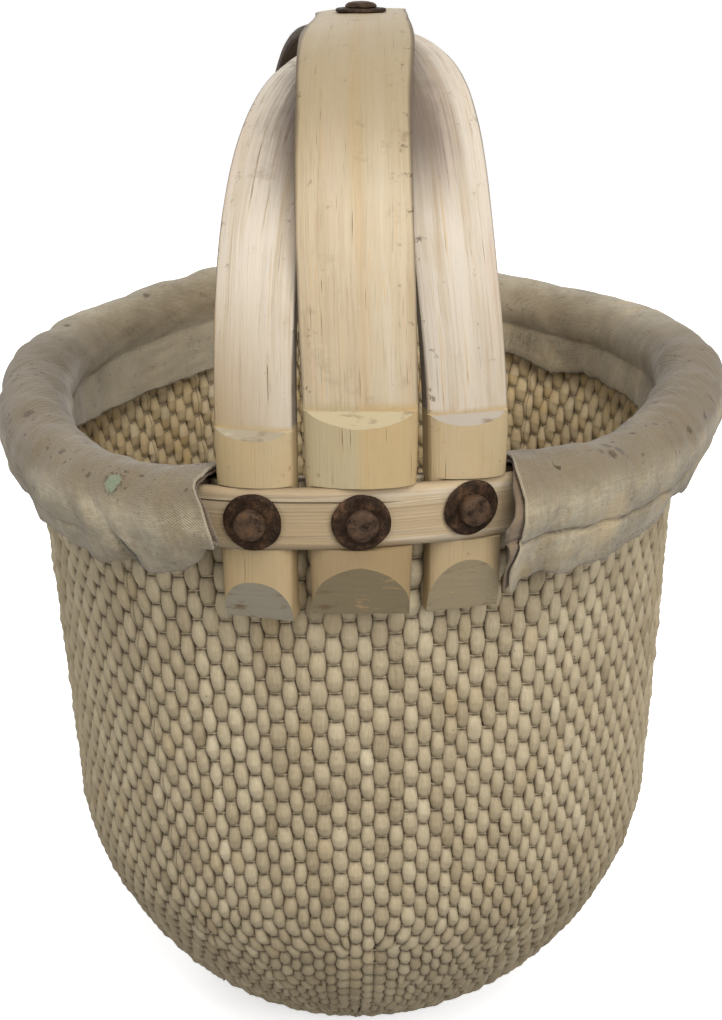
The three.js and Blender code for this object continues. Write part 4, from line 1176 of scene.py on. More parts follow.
class RimCloth:
    """One length of cotton over the rim, as rows of points from the outer to the inner hem.
    The rows run from the front end to the back end and lie closer at the front."""

    ROWS = 340
    ACROSS = 96
    CLOSER = 1.35

    def __init__(self, name, side, seed):
        self.name = name
        self.seed = seed
        end_up, end_aside = CLOTH_ENDS[name]
        self.share = (np.linspace(0, 1, self.ROWS) ** self.CLOSER)[:, None]
        grid = np.empty((self.ROWS, self.ACROSS, 2))
        self.wide = np.empty(self.ROWS)
        hems = {key: np.array(values, float).T for key, values in HEMS[name].items()}
        self.reach = RIM_HALF_WIDTH + rim_wander(np.array(0.0))[0]
        reach_back = RIM_HALF_WIDTH + rim_wander(np.array(math.pi))[0]
        first = math.degrees(math.asin(end_aside[0] / self.reach))
        last = 180 - math.degrees(math.asin(CLOTH_BACK / reach_back))
        for i, part in enumerate(self.share[:, 0]):
            degrees = first + (last - first) * part
            outer = np.interp(degrees, *hems["outer"]) / 1000
            inner = np.interp(degrees, *hems["inner"]) / 1000
            grid[i], self.wide[i] = cloth_profile(outer, inner, self.ACROSS)
        # Past the roll's top the climb goes on growing, so that the ends follow one curve
        climb = np.where(grid[..., 0] < 0, 2 * ROLL_RADIUS - grid[..., 1], grid[..., 1])
        front = np.arcsin(np.interp(climb, end_up, end_aside) / (self.reach + grid[..., 0]))
        rear = math.pi - np.arcsin(CLOTH_BACK / (reach_back + grid[..., 0]))
        self.turn = front + (rear - front) * self.share
        self.out, self.up = swell(self.turn, grid[..., 0]), grid[..., 1]
        self.points = rim_point(side * self.turn, self.out, self.up)
        across = np.gradient(self.points, axis=1)
        self.across = unit(across)
        self.normal = unit(np.cross(np.gradient(self.points, axis=0), across) * side)
        ends = np.minimum(np.linspace(0, 1, self.ACROSS), np.linspace(1, 0, self.ACROSS))
        self.edge = ends * self.wide.mean()

    def near_hem(self, width):
        """1 at both hems, down to 0 at this distance from them."""
        return np.clip(1 - self.edge / width, 0, 1)[None, :]

    def folds(self):
        """How far each point is pushed out, and how much painted shade its crease and the slit get."""
        points, out, up, seed = self.points, self.out, self.up, self.seed
        push = lumps(points * (1, 1, 0.45), 0.03, seed) * (0.0007 + 0.001 * self.near_hem(0.03))
        for i, (size, out_by) in enumerate(CLOTH_LUMPS, 1):
            push = push + lumps(points, size, seed + i) * out_by
        from_front = self.share * CLOTH_LENGTH
        at_end = 1 - smooth(from_front, 0, 0.017)
        push = push + at_end * (0.0012 + 0.001 * lumps(points, 0.02, seed + 7))
        hang = smooth(np.linspace(1, 0, self.ACROSS)[None, :], 0.55, 1)
        for at, wide, deep in FOLDS[self.name]:
            push = push + deep * hump(from_front - at + FOLD_LEAN * hang, wide) * hang
        outside = smooth(out, 0.006, 0.01)
        strength = np.interp(np.degrees(self.turn), *CREASES[self.name]) * outside
        under = up - CREASE_UP + 0.0012 * lumps(points, 0.04, seed + 5)
        push = push - CREASE_DEEP * strength * hump(under, CREASE_WIDE)
        # The painted shade line along the crease
        crease = CREASE_DARK * strength * hump(under - 0.0003, CREASE_LINE)
        if self.name == "left":
            past = (np.radians(np.interp(up, *OVERLAP)) - self.turn) * (self.reach + out)
            deep = smooth(-up, 0.006, 0.014) * outside
            step = OVERLAP_STEP * deep * smooth(past, -OVERLAP_SOFT, OVERLAP_SOFT)
            push = push + step * hump(past, OVERLAP_BACK)
            # The painted shadow in the slit beside the upper layer
            slit_width = 0.0013 + 0.001 * smooth(-up, 0.01, 0.024)
            crease = np.maximum(crease, SLIT_DARK * deep * hump(past - SLIT_PLACE, slit_width))
        return push, crease

    def wear(self, points):
        """Where the cloth is darker: inside the basket, at its hems and on top."""
        out, up = self.out, self.up
        worn = np.zeros(points.shape)
        worn[..., 0] = smooth(-out, 0.004, 0.019) * (1 - 0.75 * smooth(-up, 0, 0.016))
        worn[..., 1] = self.near_hem(0.012)
        beside = 1 + 0.9 * smooth(np.abs(points[..., 0]), 0.15, 0.19)
        worn[..., 2] = smooth(up, 0.001, 0.016) * smooth(-points[..., 1], -0.12, 0.04) * beside
        return worn


def rim_cloth(size, name, side, seed, material):
    """Lays one cloth, wears it and gives it its thickness."""
    cloth = RimCloth(name, side, seed)
    push, crease = cloth.folds()
    points = cloth.points + cloth.normal * (push + CLOTH_LIFT)[..., None]
    fray = cloth.near_hem(0.004) * lumps(points, 0.006, seed + 3) * FRAYED[name]
    points = points + cloth.across * fray[..., None]
    worn = cloth.wear(points)
    rows = len(TURNED_IN)
    points = np.concatenate([turned_in(name, points, cloth.normal, cloth.up[0]), points])
    worn = np.concatenate([np.repeat(worn[:1], rows, 0), worn])
    crease = np.concatenate([np.repeat(crease[:1] * 0, rows, 0), crease])
    steps = np.linalg.norm(np.diff(points, axis=0, prepend=points[:1]), axis=-1)
    distance = np.cumsum(steps, 0)
    quads = turned(grid_faces(len(points), cloth.ACROSS, columns_meet=False))
    if side > 0:
        quads = quads[:, ::-1]
    piece = skinned(f"cloth_{name}", points, quads, material)
    over = np.broadcast_to(np.linspace(0, cloth.wide.mean(), cloth.ACROSS), distance.shape)
    grain = np.stack([distance - distance[rows], over, 0 * distance], -1)
    write_vectors(piece, "grain", grain)
    write_colours(piece, "worn", worn.reshape(-1, 3))
    write_values(piece, "crease", crease)
    only(piece)
    wall = piece.modifiers.new("Thickness", "SOLIDIFY")
    wall.thickness = size.cloth_thickness
    wall.offset = -1
    bpy.ops.object.modifier_apply(modifier=wall.name)
    keep(piece, f"rim_cloth_{name}")


# The wadding's points round its section and along it, where the section's round begins and
# how far it sweeps in degrees, how far it keeps off the hoop, how low and high it reaches
# there, how many degrees from the front it stops, and how full it is
PADDING_STEPS = (26, 120)
PADDING_SWEEP = (-45, 168)
PADDING_RADIUS = 0.0183
PADDING_BACK = HALF_HOOP + 0.0006
PADDING_LOW = -0.015
PADDING_HIGH = 0.0158
PADDING_END = 21.5


def padding_roll(name, side, seed, material):
    """A rough roll of wadding that fills the bound edge and stops just inside the cloth."""
    around, along = PADDING_STEPS
    begin, sweep = PADDING_SWEEP
    turn = np.radians(begin + sweep * np.linspace(0, 1, around - 2))
    section = np.concatenate([
        [(PADDING_BACK, PADDING_LOW)],
        np.stack([PADDING_RADIUS * np.cos(turn), PADDING_RADIUS * np.sin(turn)], 1),
        [(PADDING_BACK, PADDING_HIGH)],
    ])
    start, end = math.radians(PADDING_END), math.radians(180 - PADDING_END)
    angle = side * np.linspace(start, end, along)[:, None]
    out = swell(angle, np.broadcast_to(section[:, 0], (along, around)))
    up = np.broadcast_to(section[:, 1], out.shape)
    points = rim_point(np.broadcast_to(angle, out.shape), out, up)
    middle = points.mean(1, keepdims=True)
    rough = 1 - 0.05 * np.abs(lumps(points, 0.012, seed))
    rough = rough - 0.03 * np.abs(lumps(points, 0.004, seed + 1))
    points = middle + (points - middle) * rough[..., None]
    piece = skinned(f"padding_{name}", points, tube_faces(along, around, side < 0), material)
    keep(piece, f"rim_padding_{name}")


# Handles


class Strip:
    """One bent handle: it stands on the rim at the front and the back, with a domed foot
    at each end, and arches over the basket as a flat strip."""

    # The points across its round face, and the rounds in which a foot finds its place
    DOME = 26
    SETTLE = 12

    def __init__(self, name):
        self.__dict__.update(STRIPS[name])
        angles = [np.array(self.foot_angle(end)) for end in (1, -1)]
        front, back = (rim_point(angle, TUB_OUT, 0) for angle in angles)
        span = (front - back) * (1, 1, 0)
        self.half = np.linalg.norm(span) / 2
        self.reach_way = span / (2 * self.half)
        self.across_way = np.array([-self.reach_way[1], self.reach_way[0], 0])
        self.middle = (front + back) / 2 * (1, 1, 0) + (0, 0, RIM_Z)

    def foot_angle(self, end):
        """How far round the rim the middle of a foot stands, in front (1) or behind (-1)."""
        center = STRIPS["center"]
        aside = self.side * end * ((center["foot_width"] + self.foot_width) / 2 + FOOT_GAP)
        centre = 0 if end > 0 else math.pi
        angle = centre
        for _ in range(self.SETTLE):
            reach = RIM_HALF_WIDTH + rim_wander(np.array(angle))[0] + TUB_OUT
            angle = centre + end * math.asin(aside / reach)
        return angle

    def path(self, step):
        """The line of its outer face from the front foot to the back one, as its reach from
        the middle, its height and how far it bends aside, with the face's direction."""
        rise = CROWN_HEIGHT - SPRING - self.layer * LAYER
        power = 2 / self.square
        legs = np.arange(self.foot_end, SPRING - step / 3, step)
        turns = np.linspace(0, math.pi / 2, int(0.33 / step))[:-1]
        rises = [self.ledge + over - SPRING for over in LEDGE_STEP]
        steps = [math.asin((over / rise) ** (1 / power)) for over in rises]
        turns = np.sort(np.concatenate([turns, steps]))
        reach = np.concatenate([np.full(len(legs), self.half), self.half * np.cos(turns) ** power])
        height = np.concatenate([legs, SPRING + rise * np.sin(turns) ** power])
        bend = self.sway[0] * np.sin(2 * turns) + self.sway[1] * np.sin(4 * turns)
        aside = np.concatenate([0 * legs, bend])
        reach = np.concatenate([reach, [0], -reach[::-1]])
        height = np.concatenate([height, [SPRING + rise], height[::-1]])
        aside = np.concatenate([aside, [0], 0 * aside])
        along = np.stack([np.gradient(reach), np.gradient(height)], 1)
        along = along / np.linalg.norm(along, axis=1, keepdims=True)
        return reach, height, aside, np.stack([along[:, 1], -along[:, 0]], 1)

    def neck(self, reach):
        """1 over the middle of the basket, where the strip is narrow, and 0 at its shoulders."""
        return 1 - smooth(np.abs(reach), *NECK)

    def width(self, reach, height):
        foot = smooth(height, self.foot_end, self.ledge)
        shoulder = smooth(height, SHOULDER_FROM, CROWN_HEIGHT - self.layer * LAYER)
        leg = self.end_width + (self.foot_width - self.end_width) * foot
        wide = leg + (self.shoulder_width - leg) * shoulder
        return wide + (self.crown_width - wide) * self.neck(reach)

    def place(self, reach, aside, height):
        """Points in the basket's own axes."""
        flat = self.reach_way * reach[..., None] + self.across_way * aside[..., None]
        return self.middle + flat + np.array([0, 0, 1]) * height[..., None]

    def blank(self, seed):
        """The points of the whole strip, section by section, before anything is cut."""
        reach, height, aside, facing = self.path(0.004)
        thin = smooth(height, SPRING, SPRING + THINS_OVER)
        deep = FOOT_THICK + np.maximum(0, (TUB_TOP - height) * FOOT_FILL)
        back = -(deep + (HANDLE_THICK - deep) * thin)
        domed = height < self.ledge + sum(LEDGE_STEP) / 2
        dome = np.where(domed, self.dome, STRIP_CROWN - self.cup * self.neck(reach))
        line = self.place(reach, aside, height)
        side = self.width(reach, height) / 2 * (1 + WOOD_WAVER * lumps(line, 0.11, seed))
        turn = math.pi * np.arange(self.DOME + 1) / self.DOME
        full = np.sin(turn) * (1 - self.ridge) + (1 - np.abs(np.cos(turn))) * self.ridge
        across = np.concatenate([
            np.stack([-side, STRIP_EDGE - side, side - STRIP_EDGE, side], 1),
            side[:, None] * np.cos(turn),
        ], 1)
        out = np.concatenate([
            np.stack([back + STRIP_EDGE, back, back, back + STRIP_EDGE], 1),
            -FOOT_EDGE + (dome[:, None] + FOOT_EDGE) * full,
        ], 1)
        out = out + (self.tilt * self.neck(reach) / side)[:, None] * across * np.abs(across)
        points = self.place(
            reach[:, None] + facing[:, :1] * out,
            aside[:, None] + across,
            height[:, None] + facing[:, 1:] * out,
        )
        rough = lumps(points, 0.05, seed + 1) * WOOD_ROUGH
        rough = rough + lumps(points, 0.017, seed + 2) * WOOD_FINE
        way = self.reach_way * facing[:, :1] + np.array([0, 0, 1]) * facing[:, 1:]
        return points + way[:, None] * (rough * (out > back[:, None] / 2))[..., None]

    def cutter(self, end, outline):
        """A straight cut across a foot, by its outline outward from the strip's face and up."""
        out, up = np.array(outline).T
        asides = [np.full(len(out), aside) for aside in (-self.foot_width, self.foot_width)]
        return np.stack([self.place(end * (self.half + out), aside, up) for aside in asides])

    def ledge_cut(self):
        """The sawn ledge slopes down and out from the strip's face."""
        deep, top = self.dome + CUT_CLEAR, self.ledge + CUT_CLEAR
        low = self.ledge - (deep - STRIP_CROWN) * LEDGE_SLOPE
        return [(STRIP_CROWN, self.ledge), (deep, low), (deep, top), (STRIP_CROWN, top)]

    def bevel_cut(self):
        """The bevel starts on the dome and takes its run off the foot's end."""
        rate = self.bevel_run / (self.bevel_top - self.foot_end)
        near, far = self.dome + 0.001, self.dome + CUT_CLEAR
        top, under = self.bevel_top + 0.001 / rate, self.foot_end - CUT_PAST
        low = self.dome - self.bevel_run - rate * CUT_PAST
        return [(near, top), (low, under), (far, under), (far, top)]

    def look(self, piece):
        """Writes the grain's direction, the worn edges, the crown and the feet into the
        mesh, and gives the sawn faces their own finish."""
        points = corners_of(piece) - self.middle
        reach, across = points @ self.reach_way, points @ self.across_way
        line = self.path(0.002)
        apart = (reach[:, None] - line[0]) ** 2 + (points[:, 2:] - line[1]) ** 2
        near = apart.argmin(1)
        steps = np.hypot(np.diff(line[0]), np.diff(line[1]))
        along = np.concatenate([[0], np.cumsum(steps)])[near]
        off = across - line[2][near]
        write_vectors(piece, "grain", np.stack([off, along, np.sqrt(apart[range(len(near)), near])], 1))
        worn = np.zeros((len(points), 3))
        worn[:, 0] = 2 * np.abs(off) / self.width(line[0], line[1])[near]
        worn[:, 1] = smooth(points[:, 2], 0.11, 0.21)
        worn[:, 2] = points[:, 2] < self.ledge + 0.0005
        write_colours(piece, "worn", worn)
        for outline in (self.ledge_cut(), self.bevel_cut()):
            (out, up), (far, under) = outline[:2]
            slope = np.array([abs(up - under), abs(far - out)])
            slope = slope / np.linalg.norm(slope)
            rising = 1 if far > out else -1
            for face in piece.data.polygons:
                facing = abs(np.dot(face.normal, self.reach_way))
                flat = facing * slope[0] + face.normal.z * slope[1] * rising
                if flat > 0.999 and face.center.z < RIM_Z + up + 0.001:
                    face.material_index = 1
        sides = {}
        for face in piece.data.polygons:
            for key in face.edge_keys:
                sides.setdefault(key, set()).add(face.material_index)
        for edge in piece.data.edges:
            if len(sides.get(edge.key, ())) > 1:
                edge.use_edge_sharp = True


def solid_of(name, sections, closed=False):
    """A solid skinned over sections, each a closed loop of as many points."""
    rings, sides = sections.shape[:2]
    faces = grid_faces(rings, sides, rows_meet=closed).tolist()
    if not closed:
        faces += end_faces(rings, sides)
    piece = piece_of(name, sections, faces)
    start_edit(piece)
    bpy.ops.mesh.normals_make_consistent(inside=False)
    end_edit()
    return piece


# The cutters' points round the rim, and the tub's rows, reach down and room for the feet
CUTTER_STEPS = 360
TUB_CUT_STEPS = 240
TUB_CUT_ROWS = 16
TUB_CUT_DEPTH = 0.09
TUB_CUT_CLEAR = 0.0006


def notch_cutter():
    """The room that the outer hoop needs in the feet, open to the outside."""
    angle = (np.arange(CUTTER_STEPS) / CUTTER_STEPS * TURN)[:, None]
    angle = np.broadcast_to(angle, (CUTTER_STEPS, 4))
    far = FOOT_THICK + CUT_CLEAR
    out = np.array([TUB_OUT, far, far, TUB_OUT])
    up = np.broadcast_to(np.array([-1, -1, 1, 1]) * UNDER_HOOP, angle.shape)
    return solid_of("notch_cutter", rim_point(angle, out, up), closed=True)


def tub_cutter():
    """The tub filled in, which shapes the backs of the feet."""
    shape = (TUB_CUT_ROWS, TUB_CUT_STEPS)
    angle = (np.arange(TUB_CUT_STEPS) / TUB_CUT_STEPS * TURN)[None, :]
    depth = np.linspace(-TUB_TOP, TUB_CUT_DEPTH, TUB_CUT_ROWS)[:, None]
    wall = tub_point(np.broadcast_to(angle, shape), np.broadcast_to(depth, shape))
    middle = wall.mean((0, 1)) * (1, 1, 0) + wall * (0, 0, 1)
    return solid_of("tub_cutter", wall + unit(wall - middle) * TUB_CUT_CLEAR)


def drill_cutter(node):
    """The hole of a nail or rivet, along that node."""
    centre, way, half = line_of(node, flat=False)
    bpy.ops.mesh.primitive_cylinder_add(
        vertices=24, radius=NAIL_HOLE, depth=2 * half + CUT_CLEAR, location=centre
    )
    drill = bpy.context.active_object
    drill.rotation_euler = Vector(way).to_track_quat("Z", "Y").to_euler()
    return drill


def cut_by(piece, cutter):
    """Takes a cutter's form out of a piece."""
    only(piece)
    cut = piece.modifiers.new("Cut", "BOOLEAN")
    cut.operation = "DIFFERENCE"
    cut.solver = "EXACT"
    cut.object = cutter
    bpy.context.view_layer.update()
    bpy.ops.object.modifier_apply(modifier=cut.name)


def bent_strip(name, seed, shared, finish, sawn):
    """One handle: its strip, less the hoop, the tub, its holes, ledges and bevels."""
    strip = Strip(name)
    piece = solid_of(f"handle_{name}_strip", strip.blank(seed))
    nails = (f"nail_front_{name}", f"nail_back_{name}", "crown_rivet")
    own = [drill_cutter(nail) for nail in nails]
    for end in (1, -1):
        own.append(solid_of("ledge_cutter", strip.cutter(end, strip.ledge_cut())))
        own.append(solid_of("bevel_cutter", strip.cutter(end, strip.bevel_cut())))
    for cutter in shared + own:
        cut_by(piece, cutter)
    for cutter in own:
        bpy.data.objects.remove(cutter)
    piece.data.materials.clear()
    piece.data.materials.append(finish)
    piece.data.materials.append(sawn)
    rounded(piece, 28)
    strip.look(piece)
    keep(piece, f"handle_{name}")


# Hoops

# The points round a hoop and across its face, how much its edges ease and waver, how
# uneven its face is, and the length of grain for each radian
HOOP_STEPS = 320
HOOP_ROWS = 9
HOOP_EASE = 0.0007
HOOP_WAVER = 0.00045
HOOP_SWELL = 0.0012
HOOP_GRAIN = 0.22


def hoop_band(node, height, drop, place, material):
    """A split band bent round the rim, with eased and slightly wavy edges."""
    share = np.linspace(-1, 1, HOOP_ROWS)
    face = [(HALF_HOOP - HOOP_EASE * abs(s) ** 6, s) for s in share]
    back = [(-HALF_HOOP + HOOP_EASE * abs(s) ** 6, s) for s in share[::-1]]
    section = np.array(face + back)
    angle = (np.arange(HOOP_STEPS) / HOOP_STEPS * TURN)[:, None]
    angle = np.broadcast_to(angle, (HOOP_STEPS, len(section)))
    up = np.broadcast_to(section[:, 1] * (height / 2 - 0.0002) + drop, angle.shape)
    out = place(angle) + section[:, 0]
    points = rim_point(angle, out, up)
    edge = np.abs(section[:, 1]) ** 3
    waver = lumps(points * (1, 1, 0.2), 0.05, SEEDS["hoop_edges"])
    points[..., 2] += waver * HOOP_WAVER * edge
    swollen = 1 + lumps(points * (1, 1, 3), 0.06, SEEDS["hoop_faces"]) * HOOP_SWELL
    points[..., :2] *= np.where(section[:, 0] > 0, swollen, 1)[..., None]
    quads = grid_faces(HOOP_STEPS, len(section), rows_meet=True)
    piece = skinned(f"{node}_band", points, quads, material)
    from_front = np.mod(angle + math.pi, TURN) - math.pi
    write_vectors(piece, "grain", np.stack([up, from_front * HOOP_GRAIN, out], -1))
    worn = np.zeros(points.shape)
    worn[..., 0] = np.abs(section[:, 1])
    write_colours(piece, "worn", worn.reshape(-1, 3))
    keep(piece, node)


# Iron

# The points round turned iron, and a direction off all of its lines
IRON_STEPS = 44
OFF_LINE = (0.31, 0.2, 0.93)

# Profiles from the axis out and along it, in metres
WASHER_PROFILE = (
    (0.0033, -0.001), (0.008, -0.001), (0.0132, -0.001), (0.014, -0.0004), (0.0139, 0.0004),
    (0.0133, 0.001), (0.012, 0.0012), (0.01, 0.0011), (0.0075, 0.001), (0.0052, 0.001), (0.0033, 0.001),
)
CLENCH_PROFILE = ((0.0, 0.0), (0.0035, 0.0005), (0.005, 0.0024), (0.003, 0.0024))
HEAD_PROFILE = (
    (0.003, -0.0052), (0.0072, -0.0052), (0.0074, -0.0044), (0.0074, -0.0014), (0.0071, -0.0005),
    (0.0065, -0.0001), (0.0045, 0.0), (0.002, 0.0), (0.0, 0.0),
)
LOW_HEAD_PROFILE = (
    (0.003, -0.0052), (0.0084, -0.0052), (0.0088, -0.0045), (0.0083, -0.0034), (0.0068, -0.0025),
    (0.0045, -0.002), (0.002, -0.0018), (0.0, -0.0018),
)


def line_of(node, flat):
    """The middle of a turned node, the way it faces and half its length along it."""
    points = np.unique(np.round(corners_of(NODES[node]), 6), axis=0)
    middle = points.mean(0)
    _, ways = np.linalg.eigh(np.cov((points - middle).T))
    way = ways[:, 0 if flat else 2]
    facing = np.array([0, 0, 1.0]) if node.startswith("crown") else middle * (1, 1, 0)
    if way @ facing < 0:
        way = -way
    spans = (points - middle) @ way
    return middle + way * (spans.max() + spans.min()) / 2, way, (spans.max() - spans.min()) / 2


def turned_iron(name, profile, line, rough, seed, closed, material):
    """Iron turned round a line by its profile, and dented as if by a hammer."""
    centre, way = line
    side = np.cross(way, OFF_LINE)
    side = side / np.linalg.norm(side)
    other = np.cross(way, side)
    turn = np.arange(IRON_STEPS) / IRON_STEPS * TURN
    spokes = side * np.cos(turn)[:, None] + other * np.sin(turn)[:, None]
    profile = np.array(profile)
    points = centre + spokes[:, None] * profile[:, :1] + way * profile[:, 1:]
    push = lumps(points, 0.02, seed) * rough + lumps(points, 0.007, seed + 1) * rough * 0.35
    near = smooth(profile[:, 0], 0.003, 0.008)
    points = points + spokes[:, None] * (push * near)[..., None]
    dent = lumps(points, 0.009, seed + 2) * rough * 0.3 + lumps(points, 0.003, seed + 3) * rough * 0.1
    points = points + way * (dent * (profile[:, 1] > profile[:, 1].min() + 0.001))[..., None]
    quads = grid_faces(IRON_STEPS, len(profile), rows_meet=True, columns_meet=closed)
    piece = skinned(name, points, quads, material)
    start_edit(piece)
    bpy.ops.mesh.remove_doubles(threshold=0.00002)
    bpy.ops.mesh.normals_make_consistent(inside=False)
    end_edit()
    rounded(piece, 48)
    return piece


def small_iron(node, name, seed, rough, material):
    """A node's own form, finely cut up and dented as if by a hammer."""
    piece = node_copy(node, name)
    start_edit(piece)
    bpy.ops.mesh.quads_convert_to_tris()
    bpy.ops.mesh.subdivide(number_cuts=1)
    end_edit()
    points = corners_of(piece)
    push = lumps(points, 0.011, seed) * rough + lumps(points, 0.0045, seed + 1) * rough * 0.4
    points = points + unit(points - points.mean(0)) * push[:, None]
    piece.data.vertices.foreach_set("co", points.astype(np.float32).ravel())
    piece.data.materials.append(material)
    rounded(piece, 50)
    return piece


# Settings


def colour_setting(name, description, *value):
    return bpy.props.FloatVectorProperty(
        name=name, description=description, default=shade(*value),
        size=4, subtype="COLOR", min=0, max=1,
    )


def length_setting(name, description, value, top):
    return bpy.props.FloatProperty(
        name=name, description=description, default=value, min=0.0001, max=top,
        unit="LENGTH", subtype="DISTANCE", precision=4,
    )


class BasketSizes(bpy.types.PropertyGroup):
    rods: bpy.props.IntProperty(
        name="Rods in each half",
        description="Upright willow rods at the rim, on the left and again on the right",
        default=83, min=20, max=120,
    )
    rows: bpy.props.IntProperty(
        name="Rings of cord",
        description="Rings of cord between the middle of the base and the rim",
        default=53, min=10, max=80,
    )
    pitch: length_setting("Rod pitch", "From the middle of one rod to the next", 0.0074, 0.03)
    rod_depth: length_setting(
        "Rod depth", "How far the rods' middle lies under the tub's face", 0.0034, 0.01
    )
    seam: length_setting(
        "Seam", "From the middle of the base to the seam where both halves meet", 0.112, 0.2
    )
    thread: length_setting(
        "Cord radius", "Half the thickness of the cord between the rods", 0.0005, 0.003
    )
    cloth_thickness: length_setting("Cloth thickness", "Thickness of the folded cotton", 0.0013, 0.01)
    iron_rough: length_setting("Hammer marks", "How uneven the hammered iron is", 0.0004, 0.003)


class BasketColours(bpy.types.PropertyGroup):
    willow_dark: colour_setting("Dark willow", "Stained and weathered rods", 124, 108, 80)
    willow_mid: colour_setting("Willow", "Most of the rods", 162, 146, 117)
    willow_light: colour_setting("Light willow", "Cleaner rods", 186, 171, 141)
    willow_pale: colour_setting("Pale willow", "The palest rods", 206, 193, 165)
    willow_low: colour_setting("Low willow", "Browner rods towards the base", 104, 90, 66)
    willow_warm: colour_setting("Yellow willow", "Rods that kept their colour", 190, 158, 100)
    thread: colour_setting("Cord", "The cord between the rods", 178, 162, 130)
    # Dirt, and also painted shade in the weave's clefts and along the cloth's crease
    dirt_and_shade: colour_setting("Dirt", "Dirt in the clefts of the weave", 62, 46, 27)
    # Painted shade: the slit where the left cloth laps over itself, and the wadding in the roll's
    # hollow ends
    gap: colour_setting("Gaps", "The darkest hollows", 40, 29, 18)
    cloth_dark: colour_setting("Dark cloth", "Soiled cotton", 112, 98, 76)
    cloth_mid: colour_setting("Cloth", "Worn cotton", 148, 136, 112)
    # Also painted light on the left cloth's inner flap
    cloth_light: colour_setting("Light cloth", "Cleaner cotton", 176, 164, 140)
    cloth_inside: colour_setting("Inner cloth", "The cotton on the basket's inner side", 126, 110, 86)
    cloth_warm: colour_setting("Warm cloth", "Yellowed patches of the cotton", 182, 160, 122)
    cloth_under: colour_setting("Cloth turned in", "The turned-in hem at the front ends", 108, 88, 70)
    stain: colour_setting("Stain", "Brown stains on the cotton", 134, 112, 78)
    mend: colour_setting("Mend", "Pale green mend on the cotton", 126, 139, 114)
    wood_pale: colour_setting("Pale wood", "The palest grain of the handles", 204, 192, 172)
    wood_center: colour_setting("Middle handle", "Split wood of the middle handle", 184, 167, 139)
    wood_side: colour_setting("Side handles", "Split wood of the side handles", 194, 182, 165)
    wood_hoop: colour_setting("Hoop", "Split wood of the hoops", 172, 151, 119)
    hoop_low: colour_setting("Brown hoop", "The browner left side of the hoops", 138, 117, 86)
    wood_low: colour_setting("Brown grain", "Darker grain of the split wood", 164, 142, 110)
    streak: colour_setting("Orange grain", "Warm streaks in the grain", 184, 148, 98)
    grain_dark: colour_setting("Grain lines", "Fine dark lines along the grain", 104, 84, 58)
    crown_grey: colour_setting("Crown wood", "Wood at the crown, grey with age", 140, 124, 94)
    # Painted shade on the side handles beside and under the middle one at the crown
    crown_shade: colour_setting("Smoky wood", "The side handles beside the middle one", 104, 90, 78)
    ledge_left: colour_setting("Left ledge", "The left handle's sawn ledges", 148, 136, 113)
    ledge_right: colour_setting("Right ledge", "The right handle's sawn ledges", 156, 145, 130)
    ledge_center: colour_setting("Middle ledge", "The middle handle's sawn ledges", 166, 151, 118)
    bevel_left: colour_setting("Left bevel", "The left handle's sawn foot ends", 138, 129, 111)
    bevel_right: colour_setting("Right bevel", "The right handle's sawn foot ends", 142, 128, 101)
    bevel_center: colour_setting("Middle bevel", "The middle handle's sawn foot ends", 122, 108, 82)
    wood_pink: colour_setting("Pink wood", "Pinkish brown streaks of the handles", 188, 160, 142)
    wood_foot: colour_setting("Foot wood", "Yellower wood of the handles' feet", 177, 148, 100)
    # Also the painted sheen on the left half of the middle handle's feet
    foot_grey: colour_setting("Grey foot wood", "Greyer patches of the handles' feet", 167, 152, 117)
    foot_low: colour_setting("Low foot wood", "Browner wood under the hoop", 142, 119, 85)
    iron: colour_setting("Iron", "Rusty iron of the washers", 50, 34, 21)
    iron_worn: colour_setting("Worn iron", "The nails' heads", 74, 56, 42)
    iron_dark: colour_setting("Dark iron", "The iron's hollows", 27, 19, 12)
    rust: colour_setting("Rust", "Lighter rust", 94, 68, 46)
    floor: colour_setting("Floor", "The plain floor", 176, 176, 176)


def settings():
    scene = bpy.context.scene
    return scene.basket_sizes, scene.basket_colours


# Operators

SIDES = {"left": -1, "right": 1}


class BASKET_OT_weave(bpy.types.Operator):
    """Weave the tub: willow rods, and the cords that bind them"""

    bl_idname = "basket.weave"
    bl_label = "Weave the tub"

    def execute(self, context):
        size, look = settings()
        weave = Weave(size)
        placed = weave.place()
        weave_rods(size, weave, placed, willow_finish(look))
        weave_cords(size, weave, placed, thread_finish(look))
        return {"FINISHED"}


class BASKET_OT_padding(bpy.types.Operator):
    """Lay the wadding along both sides of the rim"""

    bl_idname = "basket.padding"
    bl_label = "Pad the rim"

    def execute(self, context):
        material = padding_finish(settings()[1])
        for name, side in SIDES.items():
            padding_roll(name, side, SEEDS[f"padding_{name}"], material)
        return {"FINISHED"}


class BASKET_OT_cloth(bpy.types.Operator):
    """Bind both sides of the rim with worn cotton"""

    bl_idname = "basket.cloth"
    bl_label = "Bind the rim"

    def execute(self, context):
        size, look = settings()
        material = cloth_finish(look)
        for name, side in SIDES.items():
            rim_cloth(size, name, side, SEEDS[f"cloth_{name}"], material)
        return {"FINISHED"}


class BASKET_OT_hoops(bpy.types.Operator):
    """Bend the split-wood hoops round the rim"""

    bl_idname = "basket.hoops"
    bl_label = "Bend the hoops"

    def execute(self, context):
        look = settings()[1]
        material = hoop_finish(look)
        hoop_band("outer_hoop", HOOP_HEIGHT, 0.0, lambda angle: 0 * angle, material)
        hoop_band(
            "inner_hoop", INNER_HOOP_HEIGHT, -INNER_HOOP_DROP,
            lambda angle: TUB_OUT - foot_room(angle) - TUB_WALL - HALF_HOOP, material,
        )
        return {"FINISHED"}


